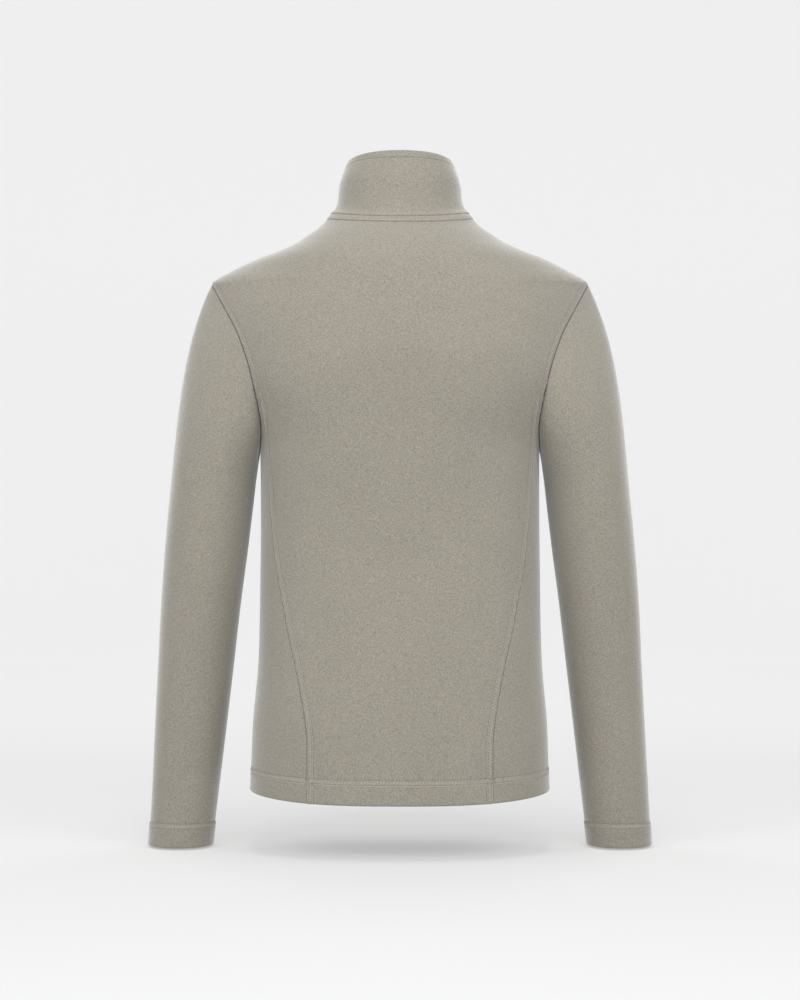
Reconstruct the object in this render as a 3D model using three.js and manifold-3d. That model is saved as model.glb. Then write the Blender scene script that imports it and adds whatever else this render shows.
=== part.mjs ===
// A fleece zip jacket in the hollow form it has when worn: centre back, side panels, two fronts,
// set-in sleeves, a stand collar and a full-length front zip that is done up.
// Millimetres, +Z up. The origin is the middle of the neck base, where the wearer's shoulders carry it.
// The front faces -Y, and the wearer's left is +X.
import * as THREE from "three";
import { mergeGeometries, mergeVertices } from "three/addons/utils/BufferGeometryUtils.js";

const CLOTH = 2.0; // fleece thickness
const HEM_CLOTH = 3.6; // fleece turned up on itself
const COLLAR_CLOTH = 3.2; // outer and inner collar together
const SEAM_GAP = 0.3; // between two pieces that are sewn together
const HEM_HEIGHT = -638; // lower edge of the body
const HEM_DEPTH = 25; // turned-up hem of the body and of the cuffs
const STEP = 2.5; // height over which a turned-up hem thins out
const HEM_LIFT = 6.5; // the body's lower edge hangs this much higher at the sides
const HEM_LIFT_REACH = 110; // height above the edge at which that curve has faded out
const NECK_BAND = 8.5; // topstitched strip below the collar seam
const NECK_BAND_RISE = 0.9;

// The body's horizontal sections. Above the armhole's foot the width is that of the body with its arms.
const BODY = [
  { height: -638, halfWidth: 171, back: 124, front: 123, squareness: 2.5 },
  { height: -560, halfWidth: 169, back: 121, front: 126, squareness: 2.5 },
  { height: -480, halfWidth: 162.7, back: 114, front: 124, squareness: 2.5 },
  { height: -400, halfWidth: 160.4, back: 107, front: 120, squareness: 2.5 },
  { height: -320, halfWidth: 159.3, back: 106, front: 118, squareness: 2.5 },
  { height: -240, halfWidth: 160.3, back: 113, front: 123, squareness: 2.4 },
  { height: -172, halfWidth: 189, back: 121, front: 127, squareness: 2.25 },
  { height: -135, halfWidth: 203.5, back: 123, front: 124, squareness: 2.05 },
  { height: -110, halfWidth: 209.5, back: 121.5, front: 118, squareness: 1.92 },
  { height: -77, halfWidth: 214.5, back: 117, front: 108, squareness: 1.78 },
  { height: -53, halfWidth: 216, back: 112, front: 99, squareness: 1.68 },
  { height: -47, halfWidth: 210.5, back: 110.5, front: 96.5, squareness: 1.68 },
  { height: -40, halfWidth: 198, back: 108.5, front: 93.5, squareness: 1.7 },
  { height: -26, halfWidth: 170, back: 103.5, front: 86.5, squareness: 1.8 },
  { height: -12.5, halfWidth: 135, back: 95.5, front: 78, squareness: 1.93 },
  { height: -5, halfWidth: 119, back: 90, front: 74, squareness: 1.97 },
  { height: 1.5, halfWidth: 109, back: 84, front: 70, squareness: 2 },
  { height: 15, halfWidth: 90.5, back: 71, front: 62, squareness: 2 },
  { height: 28, halfWidth: 79, back: 60, front: 54, squareness: 2 },
  { height: 44, halfWidth: 70, back: 50, front: 46, squareness: 2 },
];

// The curved seam between a side panel and the back, and the front alike.
const PANEL_SEAM = [
  { height: -638, across: 103 },
  { height: -573, across: 103 },
  { height: -542, across: 106 },
  { height: -486, across: 116.5 },
  { height: -450, across: 125 },
  { height: -408, across: 133 },
  { height: -371, across: 140 },
  { height: -309, across: 146 },
  { height: -254, across: 150 },
  { height: -202, across: 154.5 },
];
const JOIN = -172; // where the panel seams run into the armhole

// The armhole is an upright oval seen from the side, drawn in towards the shoulder.
const ARMHOLE = { low: -240, high: -53, back: 72, front: 66, narrowing: 0.5 };

// The sleeve's level sections below the cap, with its middle and half sizes.
const SLEEVE = [
  { height: -699, x: 254.2, y: -27, halfWidth: 36.8, halfDepth: 41 },
  { height: -625, x: 247.4, y: -22, halfWidth: 39.1, halfDepth: 43.5 },
  { height: -555, x: 241, y: -17, halfWidth: 41.4, halfDepth: 46.5 },
  { height: -485, x: 234.6, y: -12, halfWidth: 43.8, halfDepth: 50 },
  { height: -415, x: 228.7, y: -7, halfWidth: 46, halfDepth: 54 },
  { height: -345, x: 221.6, y: -4, halfWidth: 47.8, halfDepth: 58 },
  { height: -285, x: 215, y: -2, halfWidth: 48.4, halfDepth: 62 },
];
const SLEEVE_SQUARENESS = 2.15;
const CAP_FOOT = -285; // below this the sleeve's sections are level
const CUFF_HEIGHT = -699;
const CUFF_RISE = 0.9; // the turned-up cuff stands this proud
const CAP_OUT = { foot: 0.12, top: 0.5, ease: 0.6 }; // how far the cap leans out as it leaves the armhole
const CAP_BULGE = 0.15;
const CAP_LEAD = 10; // the cap arrives in the direction in which the sleeve runs on over this height

// The collar's seam and upper edge, seen from above, and how it narrows between them.
const NECK = { halfWidth: 79, back: 68, front: 79 };
const RIM = { halfWidth: 61.5, middle: -14, halfDepth: 70, back: 94, side: 82, front: 56 };
const COLLAR_SPREAD = [
  { height: 0, spread: 1 },
  { height: 0.09, spread: 0.69 },
  { height: 0.22, spread: 0.56 },
  { height: 0.34, spread: 0.49 },
  { height: 0.6, spread: 0.41 },
  { height: 0.85, spread: 0.17 },
  { height: 1, spread: 0 },
];

// The zip: cloth edges stand apart by twice the opening, and the tapes lie behind them.
const ZIP = {
  opening: 4.5,
  sewn: 15.5, // the facing and the hem's fold stop here, clear of the tape
  tapeInner: 2,
  tapeOuter: 14,
  tapeDepth: CLOTH + SEAM_GAP,
  tape: 0.6,
  chainHalf: 2.8,
  chainDepth: 0.2,
  chain: 1.8,
  foot: -634,
};
const SLIDER = { height: 36, width: 8, length: 10, plate: 1.3, post: 3, clear: 0.3 };
const BAIL = { width: 2, wall: 1.2, hole: 4.4, rise: 2.6 };
const PULL = { width: 6, length: 26, thick: 1.2, bar: 1.2, slot: 1.4, slotLength: 6, flat: 0.5 };
const BOX = { width: 8, length: 7 };

const { lerp, clamp, smoothstep } = THREE.MathUtils;
const point = (x, y, z) => new THREE.Vector3(x, y, z);
const HALF_TURN = Math.PI;
const SIDE = Math.PI / 2;

// One column of a table as a curve of height that never swings past the rows' own values.
function columnOf(table, name) {
  const rows = [...table].sort((a, b) => a.height - b.height);
  const at = rows.map((row) => row.height);
  const value = rows.map((row) => row[name]);
  const slope = value.slice(1).map((v, i) => (v - value[i]) / (at[i + 1] - at[i]));
  const lean = value.map((_, i) => {
    const [before, after] = [slope[Math.max(i - 1, 0)], slope[Math.min(i, slope.length - 1)]];
    return before * after <= 0 ? 0 : (2 * before * after) / (before + after);
  });
  return (height) => {
    const z = clamp(height, at[0], at[at.length - 1]);
    const i = clamp(at.findIndex((a) => a >= z) - 1, 0, at.length - 2);
    const span = at[i + 1] - at[i];
    const t = (z - at[i]) / span;
    const [t2, t3] = [t * t, t * t * t];
    return (
      (2 * t3 - 3 * t2 + 1) * value[i] +
      (t3 - 2 * t2 + t) * span * lean[i] +
      (3 * t2 - 2 * t3) * value[i + 1] +
      (t3 - t2) * span * lean[i + 1]
    );
  };
}

const bodyWidth = columnOf(BODY, "halfWidth");
const bodyBack = columnOf(BODY, "back");
const bodyFront = columnOf(BODY, "front");
const bodySquareness = columnOf(BODY, "squareness");
const signedPower = (value, power) => Math.sign(value) * Math.abs(value) ** power;

// A point of the body's outside. The turn is 0 at the centre back and half a turn at the centre front.
function bodyPoint(turn, z) {
  const power = 2 / bodySquareness(z);
  const depth = Math.cos(turn) > 0 ? bodyBack(z) : bodyFront(z);
  return point(
    bodyWidth(z) * signedPower(Math.sin(turn), power),
    depth * signedPower(Math.cos(turn), power),
    z,
  );
}

// 1 on the body's outside and more beyond it.
function bodyFill(p) {
  const depth = p.y > 0 ? bodyBack(p.z) : bodyFront(p.z);
  const n = bodySquareness(p.z);
  return Math.abs(p.x / bodyWidth(p.z)) ** n + Math.abs(p.y / depth) ** n;
}

function bodyNormal(p) {
  const NUDGE = 0.05;
  const slopeAlong = (axis) => {
    const nudge = point(0, 0, 0).setComponent(axis, NUDGE);
    return bodyFill(p.clone().add(nudge)) - bodyFill(p.clone().sub(nudge));
  };
  return point(slopeAlong(0), slopeAlong(1), slopeAlong(2)).normalize();
}

// The turn at which a level section is that far across, or that far back.
function turnAcross(x, z, front) {
  const turn = Math.asin(clamp(x / bodyWidth(z), 0, 1) ** (bodySquareness(z) / 2));
  return front ? HALF_TURN - turn : turn;
}

function turnBack(y, z) {
  const depth = y > 0 ? bodyBack(z) : bodyFront(z);
  const turn = Math.acos(clamp(Math.abs(y) / depth, 0, 1) ** (bodySquareness(z) / 2));
  return y > 0 ? turn : HALF_TURN - turn;
}

const ARMHOLE_MIDDLE = (ARMHOLE.low + ARMHOLE.high) / 2;
const ARMHOLE_HALF = (ARMHOLE.high - ARMHOLE.low) / 2;

// How far back the armhole is, on its way from its foot round the back and over the shoulder.
function armholeDepth(around) {
  const depth = Math.sin(around) * (Math.sin(around) > 0 ? ARMHOLE.back : ARMHOLE.front);
  return depth * (1 - ARMHOLE.narrowing * ((1 - Math.cos(around)) / 2) ** 3);
}

function armholePoint(around) {
  const z = ARMHOLE_MIDDLE - ARMHOLE_HALF * Math.cos(around);
  return bodyPoint(turnBack(armholeDepth(around), z), z);
}

function armholeAround(z, front) {
  const around = Math.acos(clamp((ARMHOLE_MIDDLE - z) / ARMHOLE_HALF, -1, 1));
  return front ? 2 * HALF_TURN - around : around;
}

// The panel seam's turn, which ends where the seam runs into the armhole.
function panelSeam(front) {
  const joint = armholePoint(armholeAround(JOIN, front));
  const across = columnOf([...PANEL_SEAM, { height: JOIN, across: joint.x }], "across");
  return (z) => turnAcross(across(z), z, front);
}

const backSeam = panelSeam(false);
const frontSeam = panelSeam(true);

// The outer edge of the back or a front: panel seam, armhole, then shoulder seam.
function panelEdge(z, front) {
  if (z < JOIN) return (front ? frontSeam : backSeam)(z);
  if (z >= ARMHOLE.high) return SIDE;
  return turnBack(armholeDepth(armholeAround(z, front)), z);
}

// The last value in a range for which a test holds, found by halving. It holds at low, not at high.
function lastWhere(holds, low, high) {
  const HALVINGS = 40;
  for (let i = 0; i < HALVINGS; i++) {
    const middle = (low + high) / 2;
    if (holds(middle)) low = middle;
    else high = middle;
  }
  return low;
}

// The neck seam: an oval seen from above, at the height where it meets the body.
const NECK_RANGE = [-60, 44];
function neckPoint(turn) {
  const across = NECK.halfWidth * Math.sin(turn);
  const along = Math.cos(turn) * (Math.cos(turn) > 0 ? NECK.back : NECK.front);
  const z = lastWhere((height) => bodyFill(point(across, along, height)) <= 1, ...NECK_RANGE);
  return point(across, along, z);
}

function rimPoint(turn) {
  const mean = (RIM.back + RIM.front + 2 * RIM.side) / 4;
  const tilt = (RIM.back - RIM.front) / 2;
  return point(
    RIM.halfWidth * Math.sin(turn),
    RIM.middle + RIM.halfDepth * Math.cos(turn),
    mean + tilt * Math.cos(turn) + (mean - RIM.side) * Math.cos(2 * turn),
  );
}

const collarSpread = columnOf(COLLAR_SPREAD, "spread");

function collarPoint(turn, rise) {
  const [seam, rim] = [neckPoint(turn), rimPoint(turn)];
  const spread = collarSpread(rise);
  return point(
    lerp(rim.x, seam.x, spread),
    lerp(rim.y, seam.y, spread),
    lerp(seam.z, rim.z, rise),
  );
}

function normalOf(surface, u, v, stepU, stepV) {
  const alongU = surface(u + stepU, v).sub(surface(u - stepU, v));
  const alongV = surface(u, v + stepV).sub(surface(u, v));
  return alongU.cross(alongV).normalize();
}

function collarNormal(turn, rise) {
  const normal = normalOf(collarPoint, turn, Math.min(rise, 0.98), 0.01, 0.02);
  return normal.dot(point(Math.sin(turn), Math.cos(turn), 0)) < 0 ? normal.negate() : normal;
}

const sleeveTable = Object.fromEntries(
  ["x", "y", "halfWidth", "halfDepth"].map((name) => [name, columnOf(SLEEVE, name)]),
);

// A level section of the sleeve. The way round starts at the underarm and goes by the back.
function sleeveSection(around, z) {
  const power = 2 / SLEEVE_SQUARENESS;
  return point(
    sleeveTable.x(z) - sleeveTable.halfWidth(z) * signedPower(Math.cos(around), power),
    sleeveTable.y(z) + sleeveTable.halfDepth(z) * signedPower(Math.sin(around), power),
    z,
  );
}

// How the cap sets off from the armhole: nearly straight down at the underarm, leaning out at the top.
function capStart(around) {
  const rise = (1 - Math.cos(around)) / 2;
  return point(
    lerp(CAP_OUT.foot, CAP_OUT.top, rise ** CAP_OUT.ease),
    CAP_BULGE * Math.sin(around),
    -1,
  ).normalize();
}

// The cap, from the armhole at 0 to the first level section at 1.
function capPoint(around, share) {
  const start = armholePoint(around).add(point(SEAM_GAP, 0, 0));
  const end = sleeveSection(around, CAP_FOOT);
  const length = start.distanceTo(end);
  const below = sleeveSection(around, CAP_FOOT - CAP_LEAD);
  const leaving = capStart(around).multiplyScalar(length);
  const arriving = below.sub(end).normalize().multiplyScalar(length);
  const [t2, t3] = [share ** 2, share ** 3];
  return start
    .multiplyScalar(2 * t3 - 3 * t2 + 1)
    .addScaledVector(leaving, t3 - 2 * t2 + share)
    .addScaledVector(end, 3 * t2 - 2 * t3)
    .addScaledVector(arriving, t3 - t2);
}

const capNormal = (around, share) => normalOf(capPoint, around, Math.min(share, 0.97), 0.01, 0.02);
const sectionNormal = (around, z) => normalOf(sleeveSection, around, z, 0.01, -1);

// The direction in which both walls at a seam are thickened, so that their edges lie face to face.
function mitre(own, other) {
  const facing = own.dot(other);
  const shared = own.clone().add(other).divideScalar(1 + Math.max(facing, 0));
  return own.clone().lerp(shared, smoothstep(facing, 0, 0.4));
}

const knot = (outer, normal, cloth = CLOTH) => ({ outer, normal, cloth });

// A closed wall of cloth over a grid of knots: its outside, its inside and the edges between.
function wall(grid, tube = false) {
  const rows = grid.length;
  const columns = grid[0].length;
  const corners = [];
  for (const side of [0, 1])
    for (const row of grid)
      for (const { outer, normal, cloth } of row)
        corners.push(...outer.clone().addScaledVector(normal, -side * cloth).toArray());
  const index = [];
  const at = (side, row, column) => (side * rows + row) * columns + (column % columns);
  const quad = (a, b, c, d) => index.push(a, b, c, a, c, d);
  const spans = tube ? columns : columns - 1;
  for (let r = 0; r < rows - 1; r++)
    for (let c = 0; c < spans; c++) {
      quad(at(0, r, c), at(0, r, c + 1), at(0, r + 1, c + 1), at(0, r + 1, c));
      quad(at(1, r, c), at(1, r + 1, c), at(1, r + 1, c + 1), at(1, r, c + 1));
    }
  const last = rows - 1;
  for (let c = 0; c < spans; c++) {
    quad(at(0, 0, c), at(1, 0, c), at(1, 0, c + 1), at(0, 0, c + 1));
    quad(at(0, last, c), at(0, last, c + 1), at(1, last, c + 1), at(1, last, c));
  }
  const end = columns - 1;
  for (let r = 0; r < rows - 1 && !tube; r++) {
    quad(at(0, r, 0), at(0, r + 1, 0), at(1, r + 1, 0), at(1, r, 0));
    quad(at(0, r, end), at(1, r, end), at(1, r + 1, end), at(0, r + 1, end));
  }
  const geometry = new THREE.BufferGeometry();
  geometry.setAttribute("position", new THREE.Float32BufferAttribute(corners, 3));
  geometry.setIndex(index);
  return facingOut(geometry);
}

function volumeOf(geometry) {
  const [position, index] = [geometry.getAttribute("position"), geometry.getIndex()];
  const corner = (i) => point(0, 0, 0).fromBufferAttribute(position, index.getX(i));
  let volume = 0;
  for (let i = 0; i < index.count; i += 3)
    volume += corner(i).dot(corner(i + 1).cross(corner(i + 2))) / 6;
  return volume;
}

function facingOut(geometry) {
  if (volumeOf(geometry) < 0) geometry.setIndex([...geometry.getIndex().array].reverse());
  return geometry;
}

// Draws a grid's edge knots in by half the seam gap, towards their neighbours.
function drawIn(grid, { first = false, last = false, top = false }) {
  const towards = (from, to) => {
    const way = to.outer.clone().sub(from.outer).setLength(SEAM_GAP / 2);
    from.outer.add(way);
  };
  for (const row of grid) {
    if (first) towards(row[0], row[1]);
    if (last) towards(row[row.length - 1], row[row.length - 2]);
  }
  if (top) grid[grid.length - 1].forEach((k, c) => towards(k, grid[grid.length - 2][c]));
  return grid;
}

// Raises a body panel's lower edge towards the sides, so that it hangs in a shallow curve.
function liftHem(grid) {
  for (const row of grid)
    for (const { outer } of row) {
      const across = Math.abs(outer.x) / BODY[0].halfWidth;
      const fade = 1 - smoothstep(outer.z, HEM_HEIGHT, HEM_HEIGHT + HEM_LIFT_REACH);
      outer.z += HEM_LIFT * across ** 3 * fade;
    }
  return grid;
}

// The other side's copy of a grid.
const mirrored = (grid) =>
  grid.map((row) =>
    row.map(({ outer, normal, cloth }) =>
      knot(point(-outer.x, outer.y, outer.z), point(-normal.x, normal.y, normal.z), cloth),
    ),
  );

const LOWER_ROWS = [
  HEM_HEIGHT, HEM_HEIGHT + HEM_DEPTH, HEM_HEIGHT + HEM_DEPTH + STEP,
  -575, -535, -495, -455, -415, -375, -335, -300, -268, -238, -212, -190, JOIN,
];
const ARMHOLE_ROWS = [-152, -130, -110, -93, -78, -66, -57, ARMHOLE.high];
const SHOULDER_SHARES = [0.13, 0.28, 0.44, 0.62, 0.82];
const BAND_STEP = 0.012; // share of the shoulder over which the strip below the collar rises

// How the cloth's thickness follows the turned-up hem.
const hemmed = (z) => (z <= HEM_HEIGHT + HEM_DEPTH ? HEM_CLOTH : CLOTH);

// The direction in which the back or a front is thickened, mitred where it meets the sleeve.
function panelNormal(p, z, onEdge, front) {
  const own = bodyNormal(p);
  if (!onEdge || z < JOIN || z > ARMHOLE.high) return own;
  const cap = capNormal(armholeAround(z, front), 0);
  cap.x *= Math.sign(p.x);
  return mitre(own, cap);
}

// The back or a front. Each column says where it runs at a height and where it meets the neck.
function panelGrid(columns, front) {
  const side = neckPoint(SIDE).z;
  const lower = [...LOWER_ROWS, ...ARMHOLE_ROWS];
  const grid = lower.map((height) =>
    columns.map(({ turn, neck, edge, cloth }) => {
      const rise = (height - JOIN) / (side - JOIN);
      const z = height <= JOIN ? height : JOIN + rise * (neck.z - JOIN);
      const p = bodyPoint(turn(z, height), z);
      return knot(p, panelNormal(p, z, edge, front), cloth(z));
    }),
  );
  const shoulder = columns.map(({ turn, neck, neckTurn, edge }) => {
    const foot = JOIN + ((ARMHOLE.high - JOIN) / (side - JOIN)) * (neck.z - JOIN);
    const footTurn = turn(foot, ARMHOLE.high);
    const along = (share) => {
      const z = lerp(foot, neck.z, share);
      return bodyPoint(edge ? SIDE * Math.sign(footTurn) : lerp(footTurn, neckTurn, share), z);
    };
    const band = lastWhere((share) => along(share).distanceTo(along(1)) > NECK_BAND, 0, 1);
    return { along, band };
  });
  const rowAt = (share, rise) =>
    shoulder.map(({ along, band }, c) => {
      const p = along(share(band));
      const normal = bodyNormal(p);
      const thick = columns[c].cloth(p.z);
      return knot(p.clone().addScaledVector(normal, rise), normal, thick + rise);
    });
  const below = (band) => band - BAND_STEP;
  for (const share of SHOULDER_SHARES) grid.push(rowAt((band) => share * below(band), 0));
  grid.push(rowAt(below, 0), rowAt((band) => band, NECK_BAND_RISE));
  const top = rowAt(() => 1, NECK_BAND_RISE);
  top.forEach((k, c) => {
    k.normal = mitre(k.normal, collarNormal(columns[c].collarTurn, 0));
  });
  grid.push(top);
  return grid;
}

const BACK_COLUMNS = 20;
const FRONT_COLUMNS = 11;

function backGrid() {
  const columns = Array.from({ length: BACK_COLUMNS + 1 }, (_, c) => {
    const share = 1 - (2 * c) / BACK_COLUMNS;
    const collarTurn = share * SIDE;
    const neck = neckPoint(collarTurn);
    return {
      edge: Math.abs(share) === 1,
      turn: (z, height) => share * panelEdge(height, false),
      neck,
      collarTurn,
      neckTurn: Math.sign(share) * turnAcross(Math.abs(neck.x), neck.z, false),
      cloth: hemmed,
    };
  });
  return drawIn(panelGrid(columns, false), { first: true, last: true, top: true });
}

// A front, from its zip edge to the side. Its first two columns run straight, beside the zip.
function frontGrid() {
  const columns = Array.from({ length: FRONT_COLUMNS + 1 }, (_, c) => {
    const straight = [ZIP.opening, ZIP.sewn][c];
    const share = (c - 1) / (FRONT_COLUMNS - 1);
    const collarTurn = straight
      ? HALF_TURN - Math.asin(straight / NECK.halfWidth)
      : lerp(HALF_TURN - Math.asin(ZIP.sewn / NECK.halfWidth), SIDE, share);
    const neck = neckPoint(collarTurn);
    const inner = (z) => turnAcross(ZIP.sewn, z, true);
    return {
      edge: c === FRONT_COLUMNS,
      turn: (z, height) =>
        straight
          ? turnAcross(straight, z, true)
          : lerp(inner(z), panelEdge(height, true), share),
      neck,
      collarTurn,
      neckTurn: turnAcross(neck.x, neck.z, true),
      cloth: (z) => (straight ? CLOTH : hemmed(z)),
    };
  });
  return drawIn(panelGrid(columns, true), { last: true, top: true });
}

const SIDE_LIFT = -430; // above this the side panel's columns turn towards the armhole
const UNDERARM_COLUMNS = 10;
const joinAround = armholeAround(JOIN, false);
const UNDERARM = Array.from({ length: UNDERARM_COLUMNS + 1 }, (_, c) =>
  lerp(-joinAround, joinAround, c / UNDERARM_COLUMNS),
);

// A side panel, from its hem to the armhole's foot.
function sideGrid() {
  const hemTop = HEM_HEIGHT + HEM_DEPTH + STEP;
  const columns = UNDERARM.map((around, c) => {
    const share = 1 - c / UNDERARM_COLUMNS;
    const top = armholePoint(around);
    const turn = turnBack(top.y, top.z);
    const [back, front] = [backSeam(top.z), frontSeam(top.z)];
    return { share, around, top, topShare: clamp((turn - back) / (front - back), 0, 1) };
  });
  const grid = LOWER_ROWS.map((height) =>
    columns.map(({ share, around, top, topShare }) => {
      const rise = (height - hemTop) / (JOIN - hemTop);
      const z = rise <= 0 ? height : lerp(hemTop, top.z, rise);
      const swing = smoothstep(z, SIDE_LIFT, top.z);
      const turn = lerp(backSeam(z), frontSeam(z), lerp(share, topShare, swing));
      const p = bodyPoint(turn, z);
      const own = bodyNormal(p);
      const normal = height === JOIN ? mitre(own, capNormal(around, 0)) : own;
      return knot(p, normal, hemmed(z));
    }),
  );
  return drawIn(grid, { first: true, last: true, top: true });
}

const ARMHOLE_BACK = ARMHOLE_ROWS.map((z) => armholeAround(z, false));
const ARMHOLE_FRONT = ARMHOLE_BACK.slice(0, -1).map((around) => 2 * HALF_TURN - around);
const SLEEVE_AROUND = [...UNDERARM, ...ARMHOLE_BACK, ...ARMHOLE_FRONT.reverse()];
const CAP_SHARES = [0, 0.08, 0.18, 0.3, 0.44, 0.6, 0.8];
const CUFF_TOP = CUFF_HEIGHT + HEM_DEPTH;
const SLEEVE_ROWS = [CAP_FOOT, -330, -380, -430, -480, -530, -580, -630, CUFF_TOP + STEP];

function sleeveGrid() {
  const ring = (make) => SLEEVE_AROUND.map(make);
  const cap = CAP_SHARES.map((share) =>
    ring((a) => {
      const own = capNormal(a, share);
      const normal = share ? own : mitre(own, bodyNormal(armholePoint(a)));
      return knot(capPoint(a, share), normal);
    }),
  );
  const level = SLEEVE_ROWS.map((z) => ring((a) => knot(sleeveSection(a, z), sectionNormal(a, z))));
  const cuff = [CUFF_TOP, CUFF_HEIGHT].map((z) =>
    ring((a) => {
      const normal = sectionNormal(a, z);
      return knot(sleeveSection(a, z).addScaledVector(normal, CUFF_RISE), normal, HEM_CLOTH);
    }),
  );
  return [...cap, ...level, ...cuff];
}

const COLLAR_COLUMNS = BACK_COLUMNS + 2 * FRONT_COLUMNS;
const COLLAR_RISES = [0, 0.05, 0.1, 0.22, 0.36, 0.6, 0.85, 0.97, 1];
const RIM_ROLL = 0.8; // how far the collar's upper edge rounds over

// How far round the neck a collar's column stands, counted from its end: the fronts' columns first.
function neckTurnAt(column, sewnTurn) {
  if (column <= FRONT_COLUMNS) return lerp(sewnTurn, SIDE, (column - 1) / (FRONT_COLUMNS - 1));
  return SIDE * (1 - (2 * (column - FRONT_COLUMNS)) / BACK_COLUMNS);
}

function collarGrid() {
  return COLLAR_RISES.map((rise) => {
    const halfWidth = lerp(RIM.halfWidth, NECK.halfWidth, collarSpread(rise));
    const turnAt = (x) => HALF_TURN - Math.asin(x / halfWidth);
    return Array.from({ length: COLLAR_COLUMNS + 1 }, (_, c) => {
      const fromEnd = Math.min(c, COLLAR_COLUMNS - c);
      const side = c < COLLAR_COLUMNS / 2 ? 1 : -1;
      const straight = [ZIP.opening, ZIP.sewn][fromEnd];
      const turn = straight ? side * turnAt(straight) : side * neckTurnAt(fromEnd, turnAt(ZIP.sewn));
      const own = collarNormal(turn, rise);
      const p = collarPoint(turn, rise);
      const normal = rise ? own : mitre(own, bodyNormal(neckPoint(turn)));
      if (rise === 0) p.z += SEAM_GAP;
      if (rise === 1) p.addScaledVector(own, -RIM_ROLL);
      const thick = straight ? CLOTH : COLLAR_CLOTH;
      return knot(p, normal, rise === 1 ? thick - 2 * RIM_ROLL : thick);
    });
  });
}

// The zip's edge of the left front and the collar, as rows from the hem to the collar's upper edge.
// Each row has the place at a distance across, on the outside of a wall that is one cloth thick.
function zipRows(front, collar) {
  return [...front, ...collar.slice(0, -1)].map((row) => {
    const [edge, sewn] = row.slice(0, 2).map(({ outer, normal, cloth }) => ({
      outer: outer.clone().addScaledVector(normal, CLOTH - cloth),
      normal,
    }));
    return (x) => {
      const share = Math.max((x - edge.outer.x) / (sewn.outer.x - edge.outer.x), 0);
      const place = edge.outer.clone().lerp(sewn.outer, share).setX(x);
      const normal = edge.normal.clone().lerp(sewn.normal, share);
      return knot(place, x ? normal : normal.setX(0).normalize());
    };
  });
}

// The zip line's place at a height.
function zipAt(line, z) {
  const i = clamp(line.findIndex((k) => k.outer.z >= z) - 1, 0, line.length - 2);
  const share = (z - line[i].outer.z) / (line[i + 1].outer.z - line[i].outer.z);
  return {
    outer: line[i].outer.clone().lerp(line[i + 1].outer, share),
    normal: line[i].normal.clone().lerp(line[i + 1].normal, share),
    up: line[i + 1].outer.clone().sub(line[i].outer).normalize(),
  };
}

// A strip along the zip, through places across it and at a depth behind the cloth's outside.
const strip = (rows, depth, thick) =>
  rows.map((row) =>
    row.map(({ outer, normal }) => knot(outer.clone().addScaledVector(normal, -depth), normal, thick)),
  );

// A block of given sizes across, out and up, from its middle.
function block(across, out, up, x, y, z) {
  const geometry = new THREE.BoxGeometry(across, out, up).translate(x, y, z);
  geometry.deleteAttribute("normal");
  geometry.deleteAttribute("uv");
  return mergeVertices(geometry);
}

// A flat outline in the Y-Z plane, thickened evenly to both sides along X.
function sideways(shape, width) {
  const geometry = new THREE.ExtrudeGeometry(shape, { depth: width, bevelEnabled: false });
  geometry.translate(0, 0, -width / 2);
  return geometry.applyMatrix4(
    new THREE.Matrix4().makeBasis(point(0, -1, 0), point(0, 0, 1), point(-1, 0, 0)),
  );
}

// The slider's outline seen from the side, with out as the first direction and up as the second:
// a back plate, a post, a front plate, and the bail that the pull hangs from.
const FRONT_PLATE = { inner: -ZIP.chainDepth + SLIDER.clear };
FRONT_PLATE.outer = FRONT_PLATE.inner + SLIDER.plate;
const BACK_PLATE = { outer: -(ZIP.tapeDepth + ZIP.tape + SLIDER.clear) };
BACK_PLATE.inner = BACK_PLATE.outer - SLIDER.plate;
const PULL_AXIS = FRONT_PLATE.outer + BAIL.rise / 2;

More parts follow.
